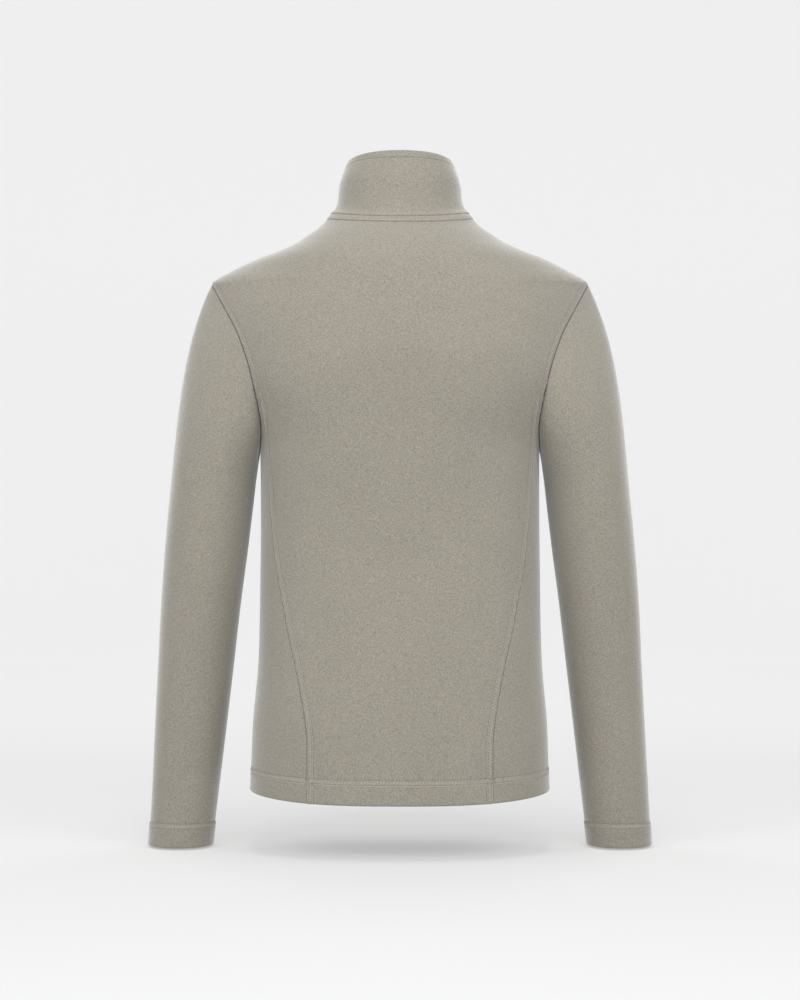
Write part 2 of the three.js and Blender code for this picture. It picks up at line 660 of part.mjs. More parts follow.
async function sliderGeometry() {
  const { default: Module } = await import("manifold-3d");
  const wasm = await Module();
  wasm.setup();
  const solid = (geometry) => {
    const bare = geometry.clone();
    bare.deleteAttribute("normal");
    bare.deleteAttribute("uv");
    const merged = mergeVertices(bare, 1e-4);
    return new wasm.Manifold(
      new wasm.Mesh({
        numProp: 3,
        vertProperties: merged.attributes.position.array,
        triVerts: new Uint32Array(merged.index.array),
      }),
    );
  };
  const plate = ({ inner, outer }) =>
    block(SLIDER.width, outer - inner, SLIDER.length, 0, -(inner + outer) / 2, 0);
  const post = block(
    SLIDER.post,
    FRONT_PLATE.outer - BACK_PLATE.inner,
    SLIDER.length / 2,
    0,
    -(FRONT_PLATE.outer + BACK_PLATE.inner) / 2,
    SLIDER.length / 4,
  );
  const halfBail = BAIL.hole / 2 + BAIL.wall;
  const top = FRONT_PLATE.outer + BAIL.rise + BAIL.wall;
  const bail = new THREE.Shape();
  bail.moveTo(FRONT_PLATE.inner, -halfBail);
  bail.lineTo(top - BAIL.wall, -halfBail);
  bail.lineTo(top, -halfBail + BAIL.wall);
  bail.lineTo(top, halfBail - BAIL.wall);
  bail.lineTo(top - BAIL.wall, halfBail);
  bail.lineTo(FRONT_PLATE.inner, halfBail);
  const hole = new THREE.Path();
  hole.moveTo(FRONT_PLATE.outer, -BAIL.hole / 2);
  hole.lineTo(FRONT_PLATE.outer, BAIL.hole / 2);
  hole.lineTo(FRONT_PLATE.outer + BAIL.rise, BAIL.hole / 2);
  hole.lineTo(FRONT_PLATE.outer + BAIL.rise, -BAIL.hole / 2);
  bail.holes.push(hole);
  const pieces = [plate(FRONT_PLATE), plate(BACK_PLATE), post, sideways(bail, BAIL.width)];
  const whole = pieces.map(solid).reduce((a, b) => a.add(b)).getMesh();
  const geometry = new THREE.BufferGeometry();
  geometry.setAttribute("position", new THREE.BufferAttribute(whole.vertProperties, 3));
  geometry.setIndex(new THREE.BufferAttribute(whole.triVerts, 1));
  return geometry;
}

// The pull: a flat tab that hangs from a bar through the bail, with the bar on its own origin.
function pullGeometry() {
  const outline = new THREE.Shape();
  const [half, top] = [PULL.width / 2, PULL.bar / 2];
  const round = half - PULL.flat;
  outline.moveTo(-half, top);
  outline.lineTo(-half, -PULL.length + round);
  outline.absarc(-half + round, -PULL.length + round, round, HALF_TURN, 1.5 * HALF_TURN);
  outline.absarc(half - round, -PULL.length + round, round, 1.5 * HALF_TURN, 2 * HALF_TURN);
  outline.lineTo(half, top);
  const slot = new THREE.Path();
  slot.moveTo(-PULL.slot, -top);
  slot.lineTo(PULL.slot, -top);
  slot.lineTo(PULL.slot, -top - PULL.slotLength);
  slot.lineTo(-PULL.slot, -top - PULL.slotLength);
  outline.holes.push(slot);
  const depth = PULL.thick;
  const tab = new THREE.ExtrudeGeometry(outline, { depth, bevelEnabled: false, curveSegments: 6 });
  return tab.translate(0, 0, -depth / 2).rotateX(SIDE);
}

const FLEECE = new THREE.MeshStandardMaterial({ color: 0xa39c8f, roughness: 0.95 });
const TAPE = new THREE.MeshStandardMaterial({ color: 0x8f897c, roughness: 0.9 });
const METAL = new THREE.MeshStandardMaterial({ color: 0x77736a, roughness: 0.45, metalness: 0.7 });

const jacket = new THREE.Group();
function add(name, geometry, material) {
  const mesh = new THREE.Mesh(geometry, material);
  mesh.name = name;
  jacket.add(mesh);
  return mesh;
}

const front = liftHem(frontGrid());
const side = liftHem(sideGrid());
const sleeve = sleeveGrid();
const collar = collarGrid();
add("back", wall(liftHem(backGrid())), FLEECE);
add("side_left", wall(side), FLEECE);
add("side_right", wall(mirrored(side)), FLEECE);
add("front_left", wall(front), FLEECE);
add("front_right", wall(mirrored(front)), FLEECE);
add("sleeve_left", wall(sleeve, true), FLEECE);
add("sleeve_right", wall(mirrored(sleeve), true), FLEECE);
add("collar", wall(collar), FLEECE);

const zip = zipRows(front, collar);
const line = zip.map((row) => row(0));
const slider = zipAt(line, SLIDER.height);
const chainEnd = zipAt(line, SLIDER.height - SLIDER.length / 2 - SLIDER.clear);
const boxTop = ZIP.foot + BOX.length + SEAM_GAP;
const chainFoot = zipAt(line, boxTop);
const chain = line.filter((k) => k.outer.z > boxTop + 1 && k.outer.z < chainEnd.outer.z - 1);
const tapeAcross = [ZIP.tapeInner, ZIP.opening, ZIP.tapeOuter];
const tape = strip(zip.map((row) => tapeAcross.map(row)), ZIP.tapeDepth, ZIP.tape);
add("zip_tape_left", wall(tape), TAPE);
add("zip_tape_right", wall(mirrored(tape)), TAPE);
const chainRows = [chainFoot, ...chain, chainEnd].map(({ outer, normal }) =>
  [-ZIP.chainHalf, ZIP.chainHalf].map((x) => knot(outer.clone().setX(x), normal)),
);
add("zip_chain", wall(strip(chainRows, ZIP.chainDepth, ZIP.chain)), TAPE);

const foot = zipAt(line, ZIP.foot + BOX.length / 2);
const box = block(BOX.width, ZIP.chain, BOX.length, 0, 0, 0);
const boxMesh = add("zip_box", box, METAL);
boxMesh.position.copy(foot.outer).addScaledVector(foot.normal, -ZIP.chainDepth - ZIP.chain / 2);

// The slider lies square to the zip line; the pull hangs straight down from it.
const sliderMesh = add("zip_slider", await sliderGeometry(), METAL);
sliderMesh.position.copy(slider.outer);
const lean = Math.atan2(-slider.up.y, slider.up.z);
sliderMesh.rotation.x = lean;
const pullMesh = add("zip_pull", pullGeometry(), METAL);
pullMesh.position
  .set(0, -PULL_AXIS, 0)
  .applyAxisAngle(point(1, 0, 0), lean)
  .add(slider.outer);

export default jacket;
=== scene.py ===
"""A fleece zip jacket in the hollow form it has when worn, seen from behind in a pale studio."""

import math

import bmesh
import bpy
import numpy as np
from mathutils import Matrix, Vector
from mathutils.bvhtree import BVHTree


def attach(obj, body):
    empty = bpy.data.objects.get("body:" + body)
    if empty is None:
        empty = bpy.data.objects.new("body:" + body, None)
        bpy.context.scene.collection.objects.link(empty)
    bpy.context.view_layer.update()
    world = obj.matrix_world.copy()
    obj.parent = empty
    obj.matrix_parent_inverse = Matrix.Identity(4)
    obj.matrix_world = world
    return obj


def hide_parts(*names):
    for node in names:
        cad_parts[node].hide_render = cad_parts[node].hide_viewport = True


bl_info = {
    "name": "Fleece zip jacket",
    "version": (1, 0, 0),
    "blender": (4, 5, 0),
    "location": "3D View > Sidebar > Jacket",
    "description": "Dresses the jacket's frame with fleece, sewing and a front zip",
    "category": "Object",
}

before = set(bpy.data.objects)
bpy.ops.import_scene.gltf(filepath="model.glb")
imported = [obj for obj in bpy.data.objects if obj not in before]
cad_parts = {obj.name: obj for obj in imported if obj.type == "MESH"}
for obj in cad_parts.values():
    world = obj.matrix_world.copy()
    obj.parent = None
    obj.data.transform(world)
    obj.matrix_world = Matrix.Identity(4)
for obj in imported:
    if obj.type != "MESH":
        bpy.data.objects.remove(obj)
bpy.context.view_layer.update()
MM = 0.001

# Light that comes through the cove under the jacket and far behind it, and from all round.
FLOOR_GLOW, WALL_GLOW, SKY_GLOW = 0.425, 0.565, 0.54
LENS, CAMERA_AWAY, CAMERA_HEIGHT = 93.96, 3.0, -0.3

# Sizes in millimetres, as in the solids.
HEM = -638.0
HEM_LIFT, HEM_LIFT_REACH = 6.5, 110.0
CUFF = -699.0
JOIN = -172.0
ARMHOLE_LOW, ARMHOLE_HIGH = -240.0, -53.0
ARMHOLE_BACK, ARMHOLE_FRONT, ARMHOLE_NARROWING = 72.0, 66.0, 0.5
SEAM_GAP = 0.3
ZIP_EDGE, ZIP_SEWN = 4.5, 15.5
ZIP_FOOT, ZIP_TOP = -627.0, 29.5
ZIP_STRAIGHT = 0.07  # the share of a front's width that runs straight beside the zip
ZIP_NEEDLE = 6.0  # from the zip's edge to the topstitching beside it
TAPE_DEPTH = 2.35  # from the cloth's outside down to the zip tape
TOOTH = (3.5, 1.75, 1.15)  # a tooth's length across the zip, its width and its height
TOOTH_DEPTH, TOOTH_REACH = 1.15, 1.05
CAP_FOOT = -285.0
SIDE_LIFT = -430.0
HALF_TURN = math.pi
SIDE = math.pi / 2

# The body's level sections: height, half width, depth to the back and to the front, squareness.
BODY = (
    (-638, 171, 124, 123, 2.5),
    (-560, 169, 121, 126, 2.5),
    (-480, 162.7, 114, 124, 2.5),
    (-400, 160.4, 107, 120, 2.5),
    (-320, 159.3, 106, 118, 2.5),
    (-240, 160.3, 113, 123, 2.4),
    (-172, 189, 121, 127, 2.25),
    (-135, 203.5, 123, 124, 2.05),
    (-110, 209.5, 121.5, 118, 1.92),
    (-77, 214.5, 117, 108, 1.78),
    (-53, 216, 112, 99, 1.68),
    (-47, 210.5, 110.5, 96.5, 1.68),
    (-40, 198, 108.5, 93.5, 1.7),
    (-26, 170, 103.5, 86.5, 1.8),
    (-12.5, 135, 95.5, 78, 1.93),
    (-5, 119, 90, 74, 1.97),
    (1.5, 109, 84, 70, 2),
    (15, 90.5, 71, 62, 2),
    (28, 79, 60, 54, 2),
    (44, 70, 50, 46, 2),
)
# The panel seams: height, distance across.
PANEL_SEAM = (
    (-638, 103),
    (-573, 103),
    (-542, 106),
    (-486, 116.5),
    (-450, 125),
    (-408, 133),
    (-371, 140),
    (-309, 146),
    (-254, 150),
    (-202, 154.5),
)
# The sleeve's level sections: height, middle across and along, half width, half depth.
SLEEVE = (
    (-699, 254.2, -27, 36.8, 41),
    (-625, 247.4, -22, 39.1, 43.5),
    (-555, 241, -17, 41.4, 46.5),
    (-485, 234.6, -12, 43.8, 50),
    (-415, 228.7, -7, 46, 54),
    (-345, 221.6, -4, 47.8, 58),
    (-285, 215, -2, 48.4, 62),
)
SLEEVE_SQUARENESS = 2.15
CAP_OUT_FOOT, CAP_OUT_TOP, CAP_EASE, CAP_BULGE, CAP_LEAD = 0.12, 0.5, 0.6, 0.15, 10.0
NECK_HALF, NECK_BACK, NECK_FRONT = 79.0, 68.0, 79.0
RIM_HALF, RIM_MIDDLE, RIM_DEPTH = 61.5, -14.0, 70.0
RIM_BACK, RIM_SIDE, RIM_FRONT = 94.0, 82.0, 56.0
# How the collar narrows: share of its height, share of the spread between rim and seam.
COLLAR_SPREAD = ((0, 1), (0.09, 0.69), (0.22, 0.56), (0.34, 0.49), (0.6, 0.41), (0.85, 0.17), (1, 0))


def table_curve(table, column):
    """One column of a table as a curve of its first column that never swings past the rows."""
    rows = sorted(table)
    at = np.array([row[0] for row in rows], float)
    value = np.array([row[column] for row in rows], float)
    slope = np.diff(value) / np.diff(at)
    before = np.concatenate([slope[:1], slope])
    after = np.concatenate([slope, slope[-1:]])
    product = before * after
    total = np.where(product > 0, before + after, 1)
    lean = np.where(product > 0, 2 * product / total, 0)

    def curve(height):
        z = np.clip(height, at[0], at[-1])
        i = np.clip(np.searchsorted(at, z) - 1, 0, len(at) - 2)
        span = at[i + 1] - at[i]
        t = (z - at[i]) / span
        t2, t3 = t * t, t * t * t
        return (
            (2 * t3 - 3 * t2 + 1) * value[i]
            + (t3 - 2 * t2 + t) * span * lean[i]
            + (3 * t2 - 2 * t3) * value[i + 1]
            + (t3 - t2) * span * lean[i + 1]
        )

    return curve


body_width, body_back, body_front, body_square = (table_curve(BODY, c) for c in (1, 2, 3, 4))
sleeve_x, sleeve_y, sleeve_half, sleeve_deep = (table_curve(SLEEVE, c) for c in (1, 2, 3, 4))
collar_spread = table_curve(COLLAR_SPREAD, 1)


def mix(a, b, share):
    return a + (b - a) * share


def smooth(value, low, high):
    t = np.clip((value - low) / (high - low), 0, 1)
    return t * t * (3 - 2 * t)


def signed_power(value, power):
    return np.sign(value) * np.abs(value) ** power


def unit(v):
    return v / np.maximum(np.linalg.norm(v, axis=-1, keepdims=True), 1e-12)


def places(x, y, z):
    return np.stack(np.broadcast_arrays(x, y, z), axis=-1).astype(float)


def body_point(turn, z):
    """The body's outside: the turn is 0 at the centre back and half a turn at the centre front."""
    power = 2 / body_square(z)
    cosine = np.cos(turn)
    depth = np.where(cosine > 0, body_back(z), body_front(z))
    x = body_width(z) * signed_power(np.sin(turn), power)
    return places(x, depth * signed_power(cosine, power), z)


def body_fill(p):
    # Above 1 outside the body's sections, below 1 inside.
    n = body_square(p[..., 2])
    depth = np.where(p[..., 1] > 0, body_back(p[..., 2]), body_front(p[..., 2]))
    return np.abs(p[..., 0] / body_width(p[..., 2])) ** n + np.abs(p[..., 1] / depth) ** n


def body_normal(p):
    step = 0.05
    slope = [body_fill(p + step * axis) - body_fill(p - step * axis) for axis in np.eye(3)]
    return unit(np.stack(slope, axis=-1))


def hem_lift(p):
    """The lower edge hangs in a shallow curve, higher at the sides."""
    across = np.abs(p[..., 0]) / BODY[0][1]
    fade = 1 - smooth(p[..., 2], HEM, HEM + HEM_LIFT_REACH)
    return HEM_LIFT * across**3 * fade


def hem_lifted(p):
    return p + hem_lift(p)[..., None] * np.array([0, 0, 1])


def above_hem(p):
    """Height above the lower edge, measured up the cloth."""
    flat = p - hem_lift(p)[..., None] * np.array([0, 0, 1])
    return p[..., 2] - hem_lift(flat) - HEM


def turn_across(x, z, front):
    turn = np.arcsin(np.clip(x / body_width(z), 0, 1) ** (body_square(z) / 2))
    return HALF_TURN - turn if front else turn


def turn_back(y, z):
    depth = np.where(y > 0, body_back(z), body_front(z))
    turn = np.arccos(np.clip(np.abs(y) / depth, 0, 1) ** (body_square(z) / 2))
    return np.where(y > 0, turn, HALF_TURN - turn)


def armhole_depth(around):
    sine = np.sin(around)
    depth = sine * np.where(sine > 0, ARMHOLE_BACK, ARMHOLE_FRONT)
    return depth * (1 - ARMHOLE_NARROWING * ((1 - np.cos(around)) / 2) ** 3)


def armhole_point(around):
    """The armhole, from its foot round the back and over the shoulder."""
    middle, half = (ARMHOLE_LOW + ARMHOLE_HIGH) / 2, (ARMHOLE_HIGH - ARMHOLE_LOW) / 2
    z = middle - half * np.cos(around)
    return body_point(turn_back(armhole_depth(around), z), z)


def armhole_around(z, front):
    middle, half = (ARMHOLE_LOW + ARMHOLE_HIGH) / 2, (ARMHOLE_HIGH - ARMHOLE_LOW) / 2
    around = np.arccos(np.clip((middle - z) / half, -1, 1))
    return 2 * HALF_TURN - around if front else around


def panel_seam(front):
    joint = armhole_point(armhole_around(JOIN, front))
    across = table_curve(PANEL_SEAM + ((JOIN, float(joint[0])),), 1)
    return lambda z: turn_across(across(z), z, front)


back_seam, front_seam = panel_seam(False), panel_seam(True)


def panel_edge(z, front):
    """The turn of a panel's outer edge: panel seam, armhole, then shoulder seam."""
    seam = (front_seam if front else back_seam)(z)
    arm = turn_back(armhole_depth(armhole_around(z, front)), z)
    return np.where(z < JOIN, seam, np.where(z >= ARMHOLE_HIGH, SIDE, arm))


def neck_point(turn):
    x = NECK_HALF * np.sin(turn)
    cosine = np.cos(turn)
    y = cosine * np.where(cosine > 0, NECK_BACK, NECK_FRONT)
    low, high = np.full(np.shape(turn), -60.0), np.full(np.shape(turn), 44.0)
    for _ in range(40):
        z = (low + high) / 2
        outside = body_fill(places(x, y, z)) > 1
        low, high = np.where(outside, low, z), np.where(outside, z, high)
    return places(x, y, low)


NECK_SIDE = float(neck_point(np.array(SIDE))[2])
ZIP_NECK_TURN = HALF_TURN - math.asin(ZIP_SEWN / NECK_HALF)


def panel_height(height, neck_z):
    """The height of a panel's row, which rises above the join to meet the neck seam."""
    rise = (height - JOIN) / (NECK_SIDE - JOIN)
    return np.where(height <= JOIN, height, JOIN + rise * (neck_z - JOIN))


def back_place(share, height):
    """The back's outside. The share runs from -1 at the right edge to 1 at the left."""
    neck = neck_point(share * SIDE)
    z = panel_height(height, neck[..., 2])
    neck_turn = np.sign(share) * turn_across(np.abs(neck[..., 0]), neck[..., 2], False)
    over = np.clip((height - ARMHOLE_HIGH) / (NECK_SIDE - ARMHOLE_HIGH), 0, 1)
    return hem_lifted(body_point(mix(share * panel_edge(height, False), neck_turn, over), z))


def front_place(share, height):
    """The left front's outside, from its zip edge at 0 to its outer edge at 1."""
    straight = share < ZIP_STRAIGHT
    x = mix(ZIP_EDGE, ZIP_SEWN, share / ZIP_STRAIGHT)
    rest = np.clip((share - ZIP_STRAIGHT) / (1 - ZIP_STRAIGHT), 0, 1)
    edge_turn = HALF_TURN - np.arcsin(np.clip(x / NECK_HALF, 0, 1))
    neck_turn = np.where(straight, edge_turn, mix(ZIP_NECK_TURN, SIDE, rest))
    neck = neck_point(neck_turn)
    z = panel_height(height, neck[..., 2])
    along_zip = turn_across(x, z, True)
    across = mix(turn_across(ZIP_SEWN, z, True), panel_edge(height, True), rest)
    over = np.clip((height - ARMHOLE_HIGH) / (NECK_SIDE - ARMHOLE_HIGH), 0, 1)
    across = mix(across, turn_across(neck[..., 0], neck[..., 2], True), over)
    return hem_lifted(body_point(np.where(straight, along_zip, across), z))


def side_place(share, height):
    """The left side panel's outside, from its back seam at 0 to its front seam at 1."""
    join = armhole_around(JOIN, False)
    top = armhole_point(mix(join, -join, share))
    hem_top = HEM + 27.5
    rise = (height - hem_top) / (JOIN - hem_top)
    z = np.where(rise <= 0, height, mix(hem_top, top[..., 2], rise))
    turn = turn_back(top[..., 1], top[..., 2])
    low, high = back_seam(top[..., 2]), front_seam(top[..., 2])
    top_share = np.clip((turn - low) / (high - low), 0, 1)
    swing = smooth(z, SIDE_LIFT, np.maximum(top[..., 2], SIDE_LIFT + 1))
    return hem_lifted(body_point(mix(back_seam(z), front_seam(z), mix(share, top_share, swing)), z))


def sleeve_section(around, z):
    power = 2 / SLEEVE_SQUARENESS
    x = sleeve_x(z) - sleeve_half(z) * signed_power(np.cos(around), power)
    y = sleeve_y(z) + sleeve_deep(z) * signed_power(np.sin(around), power)
    return places(x, y, z)


def cap_point(around, share):
    """The sleeve's cap, from the armhole at 0 to the first level section at 1."""
    start = armhole_point(around) + np.array([SEAM_GAP, 0, 0])
    end = sleeve_section(around, np.full(np.shape(around), CAP_FOOT))
    below = sleeve_section(around, np.full(np.shape(around), CAP_FOOT - CAP_LEAD))
    rise = ((1 - np.cos(around)) / 2) ** CAP_EASE
    out = unit(places(mix(CAP_OUT_FOOT, CAP_OUT_TOP, rise), CAP_BULGE * np.sin(around), -1))
    length = np.linalg.norm(end - start, axis=-1, keepdims=True)
    t = np.asarray(share)[..., None]
    t2, t3 = t * t, t * t * t
    return (
        (2 * t3 - 3 * t2 + 1) * start
        + (t3 - 2 * t2 + t) * out * length
        + (3 * t2 - 2 * t3) * end
        + (t3 - t2) * unit(below - end) * length
    )


def sleeve_place(around, run):
    """The left sleeve's outside. The run is 0 at the armhole, 1 at the cap's foot and 2 at the cuff."""
    z = mix(CAP_FOOT, CUFF, np.clip(run - 1, 0, 1))
    cap = cap_point(around, np.clip(run, 0, 1))
    return np.where((run < 1)[..., None], cap, sleeve_section(around, z))


def rim_point(turn):
    mean = (RIM_BACK + RIM_FRONT + 2 * RIM_SIDE) / 4
    tilt = (RIM_BACK - RIM_FRONT) / 2
    z = mean + tilt * np.cos(turn) + (mean - RIM_SIDE) * np.cos(2 * turn)
    return places(RIM_HALF * np.sin(turn), RIM_MIDDLE + RIM_DEPTH * np.cos(turn), z)


def collar_place(share, rise):
    """The collar's outside. The share is -1 and 1 at its ends beside the zip, the rise 1 at the rim."""
    spread = collar_spread(rise)
    half = mix(RIM_HALF, NECK_HALF, spread)
    turn = share * (HALF_TURN - np.arcsin(ZIP_EDGE / half))
    seam, rim = neck_point(turn), rim_point(turn)
    x = mix(rim[..., 0], seam[..., 0], spread)
    y = mix(rim[..., 1], seam[..., 1], spread)
    return places(x, y, mix(seam[..., 2] + SEAM_GAP, rim[..., 2], rise))


def mirrored(points):
    return points * np.array([-1, 1, 1])


def linear(code):
    """An sRGB hex colour as a linear one."""
    parts = [int(code[i : i + 2], 16) / 255 for i in (1, 3, 5)]
    return tuple(c / 12.92 if c <= 0.04045 else ((c + 0.055) / 1.055) ** 2.4 for c in parts)


def length_property(name, description, default):
    return bpy.props.FloatProperty(name=name, description=description, default=default, unit="LENGTH")


def colour_property(name, description, code):
    return bpy.props.FloatVectorProperty(
        name=name, description=description, default=linear(code), subtype="COLOR", min=0, max=1
    )


class JacketSizes(bpy.types.PropertyGroup):
    """Sizes that a maker would change"""

    cloth: length_property("Cloth", "Thickness of the fleece", 1.7 * MM)
    hem: length_property("Hem", "Depth of the turned-up hem and cuffs", 25 * MM)
    needles: length_property("Needles", "Distance between a cover stitch's two rows", 5.6 * MM)
    stitch: length_property("Stitch", "Length of one stitch with its gap", 3.6 * MM)
    thread: length_property("Thread", "Thickness of the sewing thread", 0.6 * MM)
    tooth: length_property("Tooth", "Distance from one zip tooth to the next", 2.0 * MM)
    pile: length_property("Pile", "Size of the fleece's brushed tufts", 1.3 * MM)


class JacketColours(bpy.types.PropertyGroup):
    """Colours that a maker would change"""

    fleece: colour_property("Fleece", "Brushed face of the cloth", "#9a958b")
    shade: colour_property("Shade", "Hollows between the cloth's tufts", "#7b766b")
    thread: colour_property("Thread", "Sewing thread", "#aeaa9e")
    tape: colour_property("Tape", "Woven zip tape", "#8d877a")
    teeth: colour_property("Teeth", "Zip teeth", "#7d776b")
    metal: colour_property("Metal", "Lacquered slider and pull", "#77726a")
    floor: colour_property("Floor", "Studio floor and backdrop", "#a0a0a0")


def sizes():
    return bpy.context.scene.jacket_sizes


def colours():
    return bpy.context.scene.jacket_colours


def add_node(tree, kind, links=(), **settings):
    """A node with its settings. A link is (socket to feed, where from)."""
    node = tree.nodes.new(kind)
    for key, value in settings.items():
        if hasattr(node, key):
            setattr(node, key, value)
        else:
            node.inputs[key.replace("_", " ")].default_value = value
    for socket, source in links:
        tree.links.new(source, node.inputs[socket])
    return node


def new_material(name):
    material = bpy.data.materials.new(name)
    material.use_nodes = True
    tree = material.node_tree
    tree.nodes.clear()
    shader = add_node(tree, "ShaderNodeBsdfPrincipled")
    output = add_node(tree, "ShaderNodeOutputMaterial", [("Surface", shader.outputs[0])])
    output.location = (400, 0)
    return material, tree, shader


def cells(size):
    """The scale at which a texture's cells are that size, in metres."""
    return 1 / size


def bands(width):
    """The scale at which a wave texture's bands are about that width, in metres."""
    return 1 / (math.pi * width)


def brushed_fleece():
    """Polyester fleece, knitted and brushed on both sides: matt and soft, with painted shade along its seams
    and stitch rows.
    """
    material, tree, shader = new_material("brushed_polyester_fleece")
    place = add_node(tree, "ShaderNodeTexCoord").outputs["Object"]
    pile = cells(sizes().pile)
    tufts = add_node(tree, "ShaderNodeTexNoise", [("Vector", place)], Scale=pile, Detail=2, Roughness=0.7)
    drift = add_node(tree, "ShaderNodeTexNoise", [("Vector", place)], Scale=cells(0.09), Detail=1)
    spread = add_node(
        tree, "ShaderNodeMapRange", [("Value", tufts.outputs["Fac"])], From_Min=0.34, From_Max=0.66
    )
    tint = add_node(tree, "ShaderNodeMix", [("Factor", spread.outputs[0])], data_type="RGBA")
    tint.inputs["A"].default_value = (*colours().shade, 1)
    tint.inputs["B"].default_value = (*colours().fleece, 1)
    wander = add_node(tree, "ShaderNodeMapRange", [("Value", drift.outputs["Fac"])], To_Min=0.95, To_Max=1.05)
    # Painted shade: the cloth is darkened along seams and stitch rows, where their grooves would be in
    # shadow.
    seam_shade = add_node(tree, "ShaderNodeAttribute", attribute_name="seam_shade")
    flat = add_node(tree, "ShaderNodeMapRange", [("Value", seam_shade.outputs["Fac"])], To_Min=1.0, To_Max=0.55)
    # Random tone drift times the painted seam shade.
    tone_and_shade = add_node(
        tree, "ShaderNodeMath", [(0, wander.outputs[0]), (1, flat.outputs[0])], operation="MULTIPLY"
    )
    toned = add_node(
        tree, "ShaderNodeHueSaturation", [("Color", tint.outputs["Result"]), ("Value", tone_and_shade.outputs[0])]
    )
    relief = add_node(
        tree, "ShaderNodeBump", [("Height", tufts.outputs["Fac"])], Strength=0.6, Distance=0.0006
    )
    tree.links.new(toned.outputs[0], shader.inputs["Base Color"])
    tree.links.new(relief.outputs[0], shader.inputs["Normal"])
    shader.inputs["Roughness"].default_value = 0.95
    shader.inputs["Specular IOR Level"].default_value = 0.15
    shader.inputs["Sheen Weight"].default_value = 0.8
    shader.inputs["Sheen Roughness"].default_value = 0.4
    return material


def spun_thread():
    """Polyester sewing thread, spun: a faint twist and a slight sheen."""
    material, tree, shader = new_material("spun_polyester_thread")
    place = add_node(tree, "ShaderNodeTexCoord").outputs["Object"]
    fuzz = add_node(tree, "ShaderNodeTexNoise", [("Vector", place)], Scale=cells(0.4 * MM), Detail=2)
    tint = add_node(tree, "ShaderNodeHueSaturation", Color=(*colours().thread, 1))
    value = add_node(tree, "ShaderNodeMapRange", [("Value", fuzz.outputs["Fac"])], To_Min=0.85, To_Max=1.12)
    tree.links.new(value.outputs[0], tint.inputs["Value"])
    relief = add_node(
        tree, "ShaderNodeBump", [("Height", fuzz.outputs["Fac"])], Strength=0.4, Distance=0.0001
    )
    tree.links.new(tint.outputs[0], shader.inputs["Base Color"])
    tree.links.new(relief.outputs[0], shader.inputs["Normal"])
    shader.inputs["Roughness"].default_value = 0.7
    return material


def woven_tape():
    """Polyester zip tape, woven in fine ribs that run its length: flat and a little glossy."""
    material, tree, shader = new_material("woven_polyester_tape")
    place = add_node(tree, "ShaderNodeTexCoord").outputs["Object"]
    ribs = add_node(
        tree,
        "ShaderNodeTexWave",
        [("Vector", place)],
        bands_direction="X",
        Scale=bands(0.9 * MM),
        Distortion=0.3,
    )
    picks = add_node(
        tree,
        "ShaderNodeTexWave",
        [("Vector", place)],
        bands_direction="Z",
        Scale=bands(0.7 * MM),
        Distortion=0.4,
    )
    weave = add_node(
        tree, "ShaderNodeMath", [(0, ribs.outputs["Fac"]), (1, picks.outputs["Fac"])], operation="MULTIPLY"
    )
    value = add_node(tree, "ShaderNodeMapRange", [("Value", weave.outputs[0])], To_Min=0.8, To_Max=1.1)
    tint = add_node(
        tree, "ShaderNodeHueSaturation", [("Value", value.outputs[0])], Color=(*colours().tape, 1)
    )
    relief = add_node(tree, "ShaderNodeBump", [("Height", weave.outputs[0])], Strength=0.5, Distance=0.0002)
    tree.links.new(tint.outputs[0], shader.inputs["Base Color"])
    tree.links.new(relief.outputs[0], shader.inputs["Normal"])
    shader.inputs["Roughness"].default_value = 0.75
    return material


def moulded_nylon():
    """Nylon zip teeth, moulded: smooth with a soft gloss that varies a little."""
    material, tree, shader = new_material("moulded_nylon")
    place = add_node(tree, "ShaderNodeTexCoord").outputs["Object"]
    haze = add_node(tree, "ShaderNodeTexNoise", [("Vector", place)], Scale=cells(3 * MM), Detail=2)
    gloss = add_node(tree, "ShaderNodeMapRange", [("Value", haze.outputs["Fac"])], To_Min=0.32, To_Max=0.5)
    tree.links.new(gloss.outputs[0], shader.inputs["Roughness"])
    shader.inputs["Base Color"].default_value = (*colours().teeth, 1)
    return material


def lacquered_zinc():
    """Zinc slider and pull, die-cast and lacquered: satin, brighter where it has rubbed."""
    material, tree, shader = new_material("lacquered_die_cast_zinc")
    place = add_node(tree, "ShaderNodeTexCoord").outputs["Object"]
    rub = add_node(tree, "ShaderNodeTexNoise", [("Vector", place)], Scale=cells(2.5 * MM), Detail=3)
    gloss = add_node(tree, "ShaderNodeMapRange", [("Value", rub.outputs["Fac"])], To_Min=0.28, To_Max=0.46)
    value = add_node(tree, "ShaderNodeMapRange", [("Value", rub.outputs["Fac"])], To_Min=0.9, To_Max=1.1)
    tint = add_node(
        tree, "ShaderNodeHueSaturation", [("Value", value.outputs[0])], Color=(*colours().metal, 1)
    )
    tree.links.new(tint.outputs[0], shader.inputs["Base Color"])
    tree.links.new(gloss.outputs[0], shader.inputs["Roughness"])
    shader.inputs["Metallic"].default_value = 0.75
    return material


